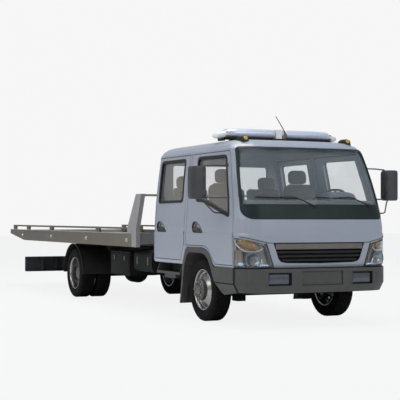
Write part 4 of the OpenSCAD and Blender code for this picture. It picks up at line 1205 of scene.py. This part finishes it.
def make_roof_fittings():
    shape = Shape()
    for side in (-1, 1):
        for finish, stations in enumerate((
                ((0.425, 0.030, 2.120, 2.135), (0.480, 0.044, 2.110, 2.170),
                 (0.520, 0.046, 2.100, 2.185), (0.600, 0.044, 2.080, 2.186),
                 (0.628, 0.042, 2.070, 2.178), (0.645, 0.036, 2.065, 2.130)),
                ((0.600, 0.028, 2.132, 2.178), (0.634, 0.027, 2.132, 2.176),
                 (0.642, 0.020, 2.138, 2.168)))):
            loft(shape, lambda x, a, z: (x, side * 0.693 + a, z), stations, 0.6, finish, 20)
    base_x, base_y = 0.450, -0.034
    shape.spun(lambda p, q, z: (base_x + p, base_y + q, z),
               [(0.022, 2.13), (0.022, 2.162), (0.016, 2.176), (0.009, 2.190),
                (0.0, 2.192)])
    # Whip, bent above its base
    shape.tube([(base_x, y, z) for y, z in ((base_y, 2.180), (-0.060, 2.230),
                                            (-0.100, 2.300), (-0.150, 2.372),
                                            (-0.197, 2.440))],
               [0.0070, 0.0065, 0.0058, 0.0052, 0.0046], 2, 8)
    shape.make("roof_fittings_dressed", [BLACK, MARKER, IRON], "chassis",
               replaces=("roof_fittings",))
    # Drip rail above the doors
    rail = Shape()
    rail.strip(on_side, [(mix(-1.385, 0.600, i / 40), 0) for i in range(41)],
               ((0, 2.013, 0.0005), (0, 2.011, 0.006), (0, 2.018, 0.008),
                (0, 2.021, 0.0005)))
    sides_of(rail, "drip_rail", [PAINT], ("chassis", "chassis"))


# ------------------------------------------------------------- bed, chassis
def make_bed():
    # Deck planks: long ribs pressed into the plate
    deck = Shape()
    for i in range(26):
        y = -1.0 + 2.0 * i / 25
        deck.prism([(y - 0.026, 0.9602), (y - 0.020, 0.9640), (y + 0.020, 0.9640),
                    (y + 0.026, 0.9602)], "x", -7.88, -1.94)
    deck.make("deck_ribs", [DECK], "bed", angle=25)

    # Bright folded top edge of each side plate, and round heads on the lashing studs
    trim = Shape()
    for side in (-1, 1):
        outer = side * 1.100
        y0, y1 = sorted((outer - side * 0.030, outer))
        trim.prism([(y0, 1.0185), (y0, 1.024), (y0 + 0.003, 1.0265), (y1 - 0.003, 1.0265),
                    (y1, 1.024), (y1, 1.0185)], "x", -7.962, -2.091, 0)
        for x in (-7.167, -5.487, -3.753, -2.087):
            trim.spun(lambda p, q, h: (x + p, outer + side * h, 0.930 + q),
                      [(0.030, 0.0), (0.030, 0.003), (0.0235, 0.005), (0.0235, 0.013),
                       (0.021, 0.018), (0.014, 0.0215), (0.0, 0.0225)], 1, 28)
    trim.make("bed_trim", [EDGE, STUD], "bed")

    # Raised straps along the loading lip
    lip = Shape()
    for i in range(9):
        y = -0.96 + 0.24 * i
        lip.prism(rect(y - 0.05, 0.9605, y + 0.05, 0.9640), "x", -7.90, -7.882)
    lip.make("lip_straps", [DECK], "bed", bevel=0.001)


def make_rear_lamps():
    """Three round units in a black box at each end of the underrun beam."""
    profile = [(0.042, 0.0), (0.042, 0.003), (0.039, 0.005), (0.034, 0.0045),
               (0.024, 0.0056), (0.012, 0.006), (0.0, 0.006)]
    for side, word in ((-1, "right"), (1, "left")):
        shape = Shape()
        y0, y1 = sorted((side * 0.760, side * 1.060))
        shape.box((-7.078, y0, 0.360), (-7.0602, y1, 0.470), 0)
        for y, finish in ((0.815, 1), (0.910, 2), (1.005, 3)):
            shape.spun(lambda p, q, h: (-7.078 - h, side * y + p, 0.415 + q), profile,
                       finish, 32)
        shape.make(f"tail_lamp_{word}", [BLACK, RED, AMBER, CLEAR_CAP], "chassis",
                   bevel=0.002, replaces=("tail_lamps",) if side < 0 else ())


def make_chassis_trim():
    shape = Shape()
    for side in (-1, 1):
        # Bolt heads on the frame rails' webs, with a gap in the upper row
        for i in range(34):
            x = -6.05 + 0.185 * i
            for z in (0.535, 0.660):
                if z < 0.6 or not -1.2 < x < -0.6:
                    shape.nut((x, side * 0.4205, z), (0, side, 0), 0.009, 0.008)
        # Straps and filler cap of the fuel tank
        for x in (-2.14, -1.76):
            loft(shape, lambda px, a, z: (px, side * (0.720 + a), z),
                 [(x + by, 0.2125, 0.4975, 0.8025) for by in (-0.020, 0.020)], 0.62, 1, 40)
        shape.spun(lambda p, q, z: (-1.68 + p, side * 0.70 + q, z),
                   [(0.045, 0.780), (0.045, 0.812), (0.038, 0.820), (0.0, 0.820)], 1, 28)

        # Lid and latches of the tool box
        def outward(x, z, h, side=side):
            return (x, side * (0.960 + h), z)

        lid = fillet(rect(-3.055, 0.455, -2.355, 0.735), 0.02, 4)
        face = grown(lid, -0.006)
        shape.rings(outward, ((lid, -0.001), (lid, 0.006), (face, 0.008)))
        shape.cover(outward, face, 0.008)
        for x in (-2.90, -2.51):
            y0, y1 = sorted((side * 0.968, side * 0.978))
            shape.box((x - 0.022, y0, 0.640), (x + 0.022, y1, 0.700), 1)
    shape.make("chassis_trim", [CHASSIS, IRON], "chassis", bevel=0.0008)

    # Rolled edges of the mudguards
    guard = Shape()
    roll = 0.006
    for side in (-1, 1):
        for y, out in ((1.059, 1), (0.579, -1)):
            rows = []
            for i in range(37):
                a = math.radians(1 + 178 * i / 36)
                section = []
                for k in range(8):
                    b = 2 * math.pi * k / 8
                    r = 0.4545 + roll * math.cos(b)
                    section.append((REAR_X + r * math.cos(a),
                                    side * (y - 0.005 * out + roll * math.sin(b)),
                                    WHEEL_Z + r * math.sin(a)))
                rows.append(section)
            guard.grid(rows, 0, around=True, caps=True)
    guard.make("mudguard_edges", [BLACK], "chassis")

    # Ribs of the steps, and the folded lip along each tread
    step = Shape()
    for side in (-1, 1):
        y0, y1 = sorted((side * 0.79, side * 0.955))
        for i in range(11):
            x = -1.275 + 0.0625 * i
            step.box((x, y0, 0.5502), (x + 0.032, y1, 0.5545), 0)
        step.prism([(side * y, z) for y, z in
                    ((0.968, 0.5502), (0.968, 0.556), (0.987, 0.556), (0.987, 0.522),
                     (0.9855, 0.522), (0.9855, 0.5502))], "x", -1.308, -0.577, 1)
    step.make("step_treads", [BLACK, SHELL], "chassis", bevel=0.001)


# ------------------------------------------------------------------ seats
LEAN = math.radians(10)
CHANNEL = 0.010
VOXEL = 0.012
CLOTH_FRAMES = 20


def tilted(x, u, v, y):
    """Point of a backrest that leans back from x: u ahead of its middle, v up it."""
    return (x + 0.060 + u * math.cos(LEAN) - v * math.sin(LEAN), y,
            1.030 + u * math.sin(LEAN) + v * math.cos(LEAN))


def pad(name, across, along, thick, place, mat, body, swell=4.0, cap=0.014,
        channels=(), crown=0.018, corner=0.03, low_corner=0.02):
    """Cushion: a crowned block, inflated as cloth, with sewn channels cut after.

    across runs in y, along and thick in the plane that place(u, y, v) maps. Its
    upper and lower corners are rounded off.
    """
    nu, nv = 18, 20
    points, faces = [], []
    index = {}

    def inset(u):
        for left, r in ((along / 2 - u, corner), (along / 2 + u, low_corner)):
            if left < r:
                return r - math.sqrt(max(0.0, r * r - (r - left) ** 2))
        return 0.0

    def put(i, j, k):
        key = (i, j, k)
        if key not in index:
            a, b = i / nu * 2 - 1, j / nv * 2 - 1
            edge = max(abs(a), abs(b)) ** 8
            lift = crown * (1 - a * a) * (1 - b * b)
            u = a * along / 2 * (1 - 0.02 * (k == 1))
            y = b * (across / 2 - inset(u)) * (1 - 0.02 * (k == 1))
            v = (thick / 2 - 0.010 * edge + lift) * (1 if k else -1)
            if not k:
                v = -thick / 2 + 0.006 * edge
            index[key] = len(points)
            points.append(Vector((u, y, v)))
        return index[key]

    for k in (0, 1):
        for i in range(nu):
            for j in range(nv):
                quad = (put(i, j, k), put(i + 1, j, k), put(i + 1, j + 1, k),
                        put(i, j + 1, k))
                faces.append(quad if k else quad[::-1])
    for i in range(nu):
        faces.append((put(i, 0, 0), put(i + 1, 0, 0), put(i + 1, 0, 1), put(i, 0, 1)))
        faces.append((put(i + 1, nv, 0), put(i, nv, 0), put(i, nv, 1), put(i + 1, nv, 1)))
    for j in range(nv):
        faces.append((put(0, j + 1, 0), put(0, j, 0), put(0, j, 1), put(0, j + 1, 1)))
        faces.append((put(nu, j, 0), put(nu, j + 1, 0), put(nu, j + 1, 1), put(nu, j, 1)))
    mesh = bpy.data.meshes.new(name)
    mesh.from_pydata(points, [], faces)
    obj = bpy.data.objects.new(name, mesh)
    scene.collection.objects.link(obj)
    inflate(obj, swell, cap)
    mesh = obj.data
    for vert in mesh.vertices:
        u, y, v = vert.co
        if v > 0:
            for where in channels:
                v -= CHANNEL * math.exp(-((u - where) / CHANNEL) ** 2)
        vert.co = Vector(place(u, y, v)) + Vector((SHIFT, 0, 0))
    work = bmesh.new()
    work.from_mesh(mesh)
    bmesh.ops.recalc_face_normals(work, faces=work.faces)
    work.to_mesh(mesh)
    work.free()
    mesh.materials.clear()
    mesh.materials.append(mat)
    mesh.shade_smooth()
    smooth = obj.modifiers.new("smooth", "SUBSURF")
    smooth.levels = smooth.render_levels = 1
    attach(obj, body)
    return obj


def inflate(obj, swell, cap):
    """Fills the cushion like an air bag and keeps the swell within cap."""
    bpy.context.view_layer.objects.active = obj
    for other in bpy.context.selected_objects:
        other.select_set(False)
    obj.select_set(True)
    remesh = obj.modifiers.new("remesh", "REMESH")
    remesh.mode = "VOXEL"
    remesh.voxel_size = VOXEL
    bpy.ops.object.modifier_apply(modifier=remesh.name)
    start = [v.co.copy() for v in obj.data.vertices]
    cloth = obj.modifiers.new("cloth", "CLOTH")
    cloth.settings.use_pressure = True
    cloth.settings.uniform_pressure_force = swell
    cloth.settings.effector_weights.gravity = 0.0
    cloth.point_cache.frame_start = 1
    cloth.point_cache.frame_end = CLOTH_FRAMES
    for number in range(1, CLOTH_FRAMES + 1):
        scene.frame_set(number)
    depsgraph = bpy.context.evaluated_depsgraph_get()
    solved = obj.evaluated_get(depsgraph).to_mesh()
    moved = [v.co.copy() for v in solved.vertices]
    obj.modifiers.remove(cloth)
    scene.frame_set(1)
    for vert, a, b in zip(obj.data.vertices, start, moved):
        step = b - a
        if step.length > cap:
            step *= cap / step.length
        vert.co = a + step


def make_seats():
    def cushion(name, width, tall, thick, x, y, up, **more):
        pad(name, width, tall, thick,
                         lambda u, v, w: tilted(x, -0.052 + w, up + u, y + v),
                         FABRIC, "chassis", crown=0.012, **more)

    # Rear edge, middle, number and width of each place
    rows = ((-0.150, (-0.525, 0.525), 0.470, 0.600, "seat"),
            (-1.150, (-0.545, 0.0, 0.545), 0.520, 0.560, "bench"))
    for x, middles, width, tall, word in rows:
        for k, y in enumerate(middles):
            pad(f"{word}_cushion_{k + 1}", width, 0.440, 0.095,
                             lambda u, v, w, x=x, y=y: (x + 0.250 + u, y + v, 1.072 + w),
                             FABRIC, "chassis", channels=(-0.06, 0.08))
            cushion(f"{word}_back_{k + 1}", width, tall, 0.078, x, y, tall / 2 + 0.062,
                    channels=(-0.12, 0.14), corner=0.11 if word == "seat" else 0.05)
    heads = ((-0.150, -0.520, -0.002, "seat"), (-0.150, 0.510, -0.002, "seat"),
             (-1.150, -0.600, -0.058, "bench"), (-1.150, 0.600, -0.058, "bench"))
    for x, y, up, word in heads:
        cushion(f"{word}_headrest_{'left' if y > 0 else 'right'}", 0.245, 0.172, 0.078, x,
                y, 0.740 + up, cap=0.010, corner=0.060, low_corner=0.045)
    # Posts of the headrests and the bases of the seats
    bases = Shape()
    for x, y, up, word in heads:
        low = 0.640 if word == "seat" else 0.580
        for side in (-0.060, 0.060):
            bases.tube([tilted(x, -0.052, v, y + side) for v in (low, low + 0.055)], 0.006,
                       1)
    for y in (-0.535, 0.535):
        bases.box((-0.020, y - 0.200, 0.906), (0.380, y + 0.200, 1.024), 0)
    bases.box((-1.120, -0.780, 0.906), (-0.780, 0.780, 1.024), 0)
    bases.make("seat_bases", [CABIN, STEEL], "chassis", bevel=0.006)
    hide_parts("seats")


def make_cabin():
    """Instrument hood, vents, door seals and steering wheel, seen through the glass."""
    shape = Shape()
    rows = []
    for k in range(9):
        y = mix(0.320, 0.690, k / 8)
        top = 1.516 + 0.030 * math.sin(math.pi * k / 8) ** 0.6
        rows.append([(0.676, y, 1.420), (0.690, y, top - 0.014), (0.702, y, top),
                     (0.770, y, top), (0.800, y, top - 0.020), (0.850, y, 1.430)])
    shape.grid(rows, 0, around=True, caps=True)
    for y in (-0.62, -0.12, 0.12, 0.80):
        shape.box((0.628, y - 0.06, 1.330), (0.650, y + 0.06, 1.372), 1)
    shape.make("dash_trim", [CABIN, BLACK], "chassis", bevel=0.006)

    # Rubber seals round the door openings, inside the doors' outer skins
    seal = Shape()
    level = ((0, -0.004, -0.029), (0, 0.012, -0.029), (0, 0.012, -0.040),
             (0, -0.004, -0.040))
    upright = ((0.004, 0, -0.029), (-0.014, 0, -0.029), (-0.014, 0, -0.040),
               (0.004, 0, -0.040))
    for x0, z0, x1, z1, section in ((-0.392, 0.930, -0.392, 2.003, upright),
                                    (-0.392, 2.003, 0.575, 2.003, level),
                                    (-1.490, 2.003, -0.482, 2.003, level)):
        seal.strip(on_side, [(mix(x0, x1, k / 12), mix(z0, z1, k / 12))
                             for k in range(13)], section)
    seal.both()
    seal.make("door_seals", [BLACK], "chassis")

    wheel = Shape()
    turn = Matrix.Rotation(-math.radians(32), 4, "Y")
    centre = Vector((0.500, 0.505, 1.460))

    def at(p, q, h):
        return centre + turn @ Vector((p, q, h))

    grip = [2 * math.pi * k / 10 for k in range(10)]
    wheel.spun(at, [(0.205 + 0.0135 * math.cos(b), 0.0135 * math.sin(b)) for b in grip],
               0, 48, closed=True)
    for a in (110, 250, 360):
        a = math.radians(a)
        wheel.tube([at(r * math.cos(a), r * math.sin(a), h) for r, h in
                    ((0.04, -0.014), (0.12, -0.010), (0.200, 0.0))],
                   [0.016, 0.012, 0.010], 0, 8)
    wheel.spun(at, [(0.0, -0.034), (0.055, -0.034), (0.066, -0.018), (0.060, -0.003),
                    (0.040, 0.004), (0.0, 0.006)], 0, 32)
    wheel.tube([at(0, 0, -0.183), at(0, 0, -0.03)], 0.031, 1, 20)
    wheel.make("steering_wheel_dressed", [BLACK, CABIN], "chassis",
               replaces=("steering_wheel",))


# ----------------------------------------------------------------- stage
WHITE = (0.925, 0.925, 0.925, 1)
SKY = (
    (0.0, (0.42, 0.34, 0.27, 1)), (0.49, (0.62, 0.55, 0.48, 1)),
    (0.51, (1.00, 0.98, 0.95, 1)), (0.62, (0.98, 1.00, 1.04, 1)),
    (0.78, (0.74, 0.90, 1.15, 1)), (1.0, (0.60, 0.80, 1.15, 1)),
)
SKY_STRENGTH = 0.45
FLOOR_WHITE_SHARE = 0.93
FLOOR_HALF = 60.0


def make_world():
    """Brownish below, pale at the horizon and blue above; white to the camera."""
    world = bpy.data.worlds.new("world")
    scene.world = world
    world.use_nodes = True
    tree = world.node_tree
    tree.nodes.clear()
    coords = add_node(tree, "TexCoord")
    parts = add_node(tree, "SeparateXYZ", Vector=coords.outputs["Generated"])
    height = add_node(tree, "MapRange", Value=parts.outputs["Z"], From_Min=-1.0,
                      From_Max=1.0)
    sky = add_node(tree, "ValToRGB", Fac=height.outputs[0])
    stops = sky.color_ramp.elements
    stops[0].color, stops[1].color = SKY[0][1], SKY[-1][1]
    for position, colour in SKY[1:-1]:
        stops.new(position).color = colour
    soft = add_node(tree, "Background", Color=sky.outputs["Color"], Strength=SKY_STRENGTH)
    white = add_node(tree, "Background", Color=WHITE, Strength=1.0)
    path = add_node(tree, "LightPath")
    either = add_node(tree, "Math")
    either.operation = "MAXIMUM"
    tree.links.new(path.outputs["Is Camera Ray"], either.inputs[0])
    tree.links.new(path.outputs["Is Transmission Ray"], either.inputs[1])
    mix_shaders(tree, either.outputs[0], soft, white, add_node(tree, "OutputWorld"))


def make_floor():
    """Pale floor that takes the truck's shadow and is nearly white to the camera."""
    mesh = bpy.data.meshes.new("floor")
    corners = rect(-FLOOR_HALF, -FLOOR_HALF, FLOOR_HALF, FLOOR_HALF)
    mesh.from_pydata([(x, y, 0) for x, y in corners[::-1]], [], [(0, 1, 2, 3)])
    floor = bpy.data.objects.new("floor", mesh)
    scene.collection.objects.link(floor)
    mat, tree, bsdf = nodes_of("floor")
    fill(tree, bsdf, Base_Color=(0.85, 0.85, 0.85, 1), Roughness=0.9)
    glow = add_node(tree, "Emission", Color=WHITE)
    path = add_node(tree, "LightPath")
    share = add_node(tree, "Math")
    share.operation = "MULTIPLY"
    share.inputs[1].default_value = FLOOR_WHITE_SHARE
    tree.links.new(path.outputs["Is Camera Ray"], share.inputs[0])
    mix_shaders(tree, share.outputs[0], bsdf, glow, tree.nodes["Material Output"])
    mesh.materials.append(mat)


def area_light(name, place, aim, size, power, colour=(1, 1, 1)):
    data = bpy.data.lights.new(name, "AREA")
    data.shape = "RECTANGLE"
    data.size, data.size_y = size
    data.energy = power
    data.color = colour
    light = bpy.data.objects.new(name, data)
    scene.collection.objects.link(light)
    light.location = place
    way = Vector(aim) - Vector(place)
    light.rotation_euler = way.to_track_quat("-Z", "Y").to_euler()


make_camera()
make_world()
make_floor()
area_light("key", (6, -11, 10), (1.5, 0, 1.2), (9, 7), 520, (1.0, 0.97, 0.92))
area_light("side", (0, -15, 7), (0, 0, 1.4), (12, 5), 200, (1.0, 0.96, 0.90))
area_light("front", (16, 4, 7), (3, 0, 1.2), (6, 5), 420, (1.0, 0.98, 0.95))
area_light("top", (0, 0, 12), (0, 0, 0), (12, 7), 1250, (1.0, 0.97, 0.93))
dress_cad()
make_wheels()
make_windows()
make_grille()
make_headlights()
make_bumper_trim()
make_handles()
make_mirrors()
make_wipers()
make_light_bar()
make_roof_fittings()
make_bed()
make_rear_lamps()
make_chassis_trim()
make_seats()
make_cabin()
scene.view_settings.view_transform = "Standard"
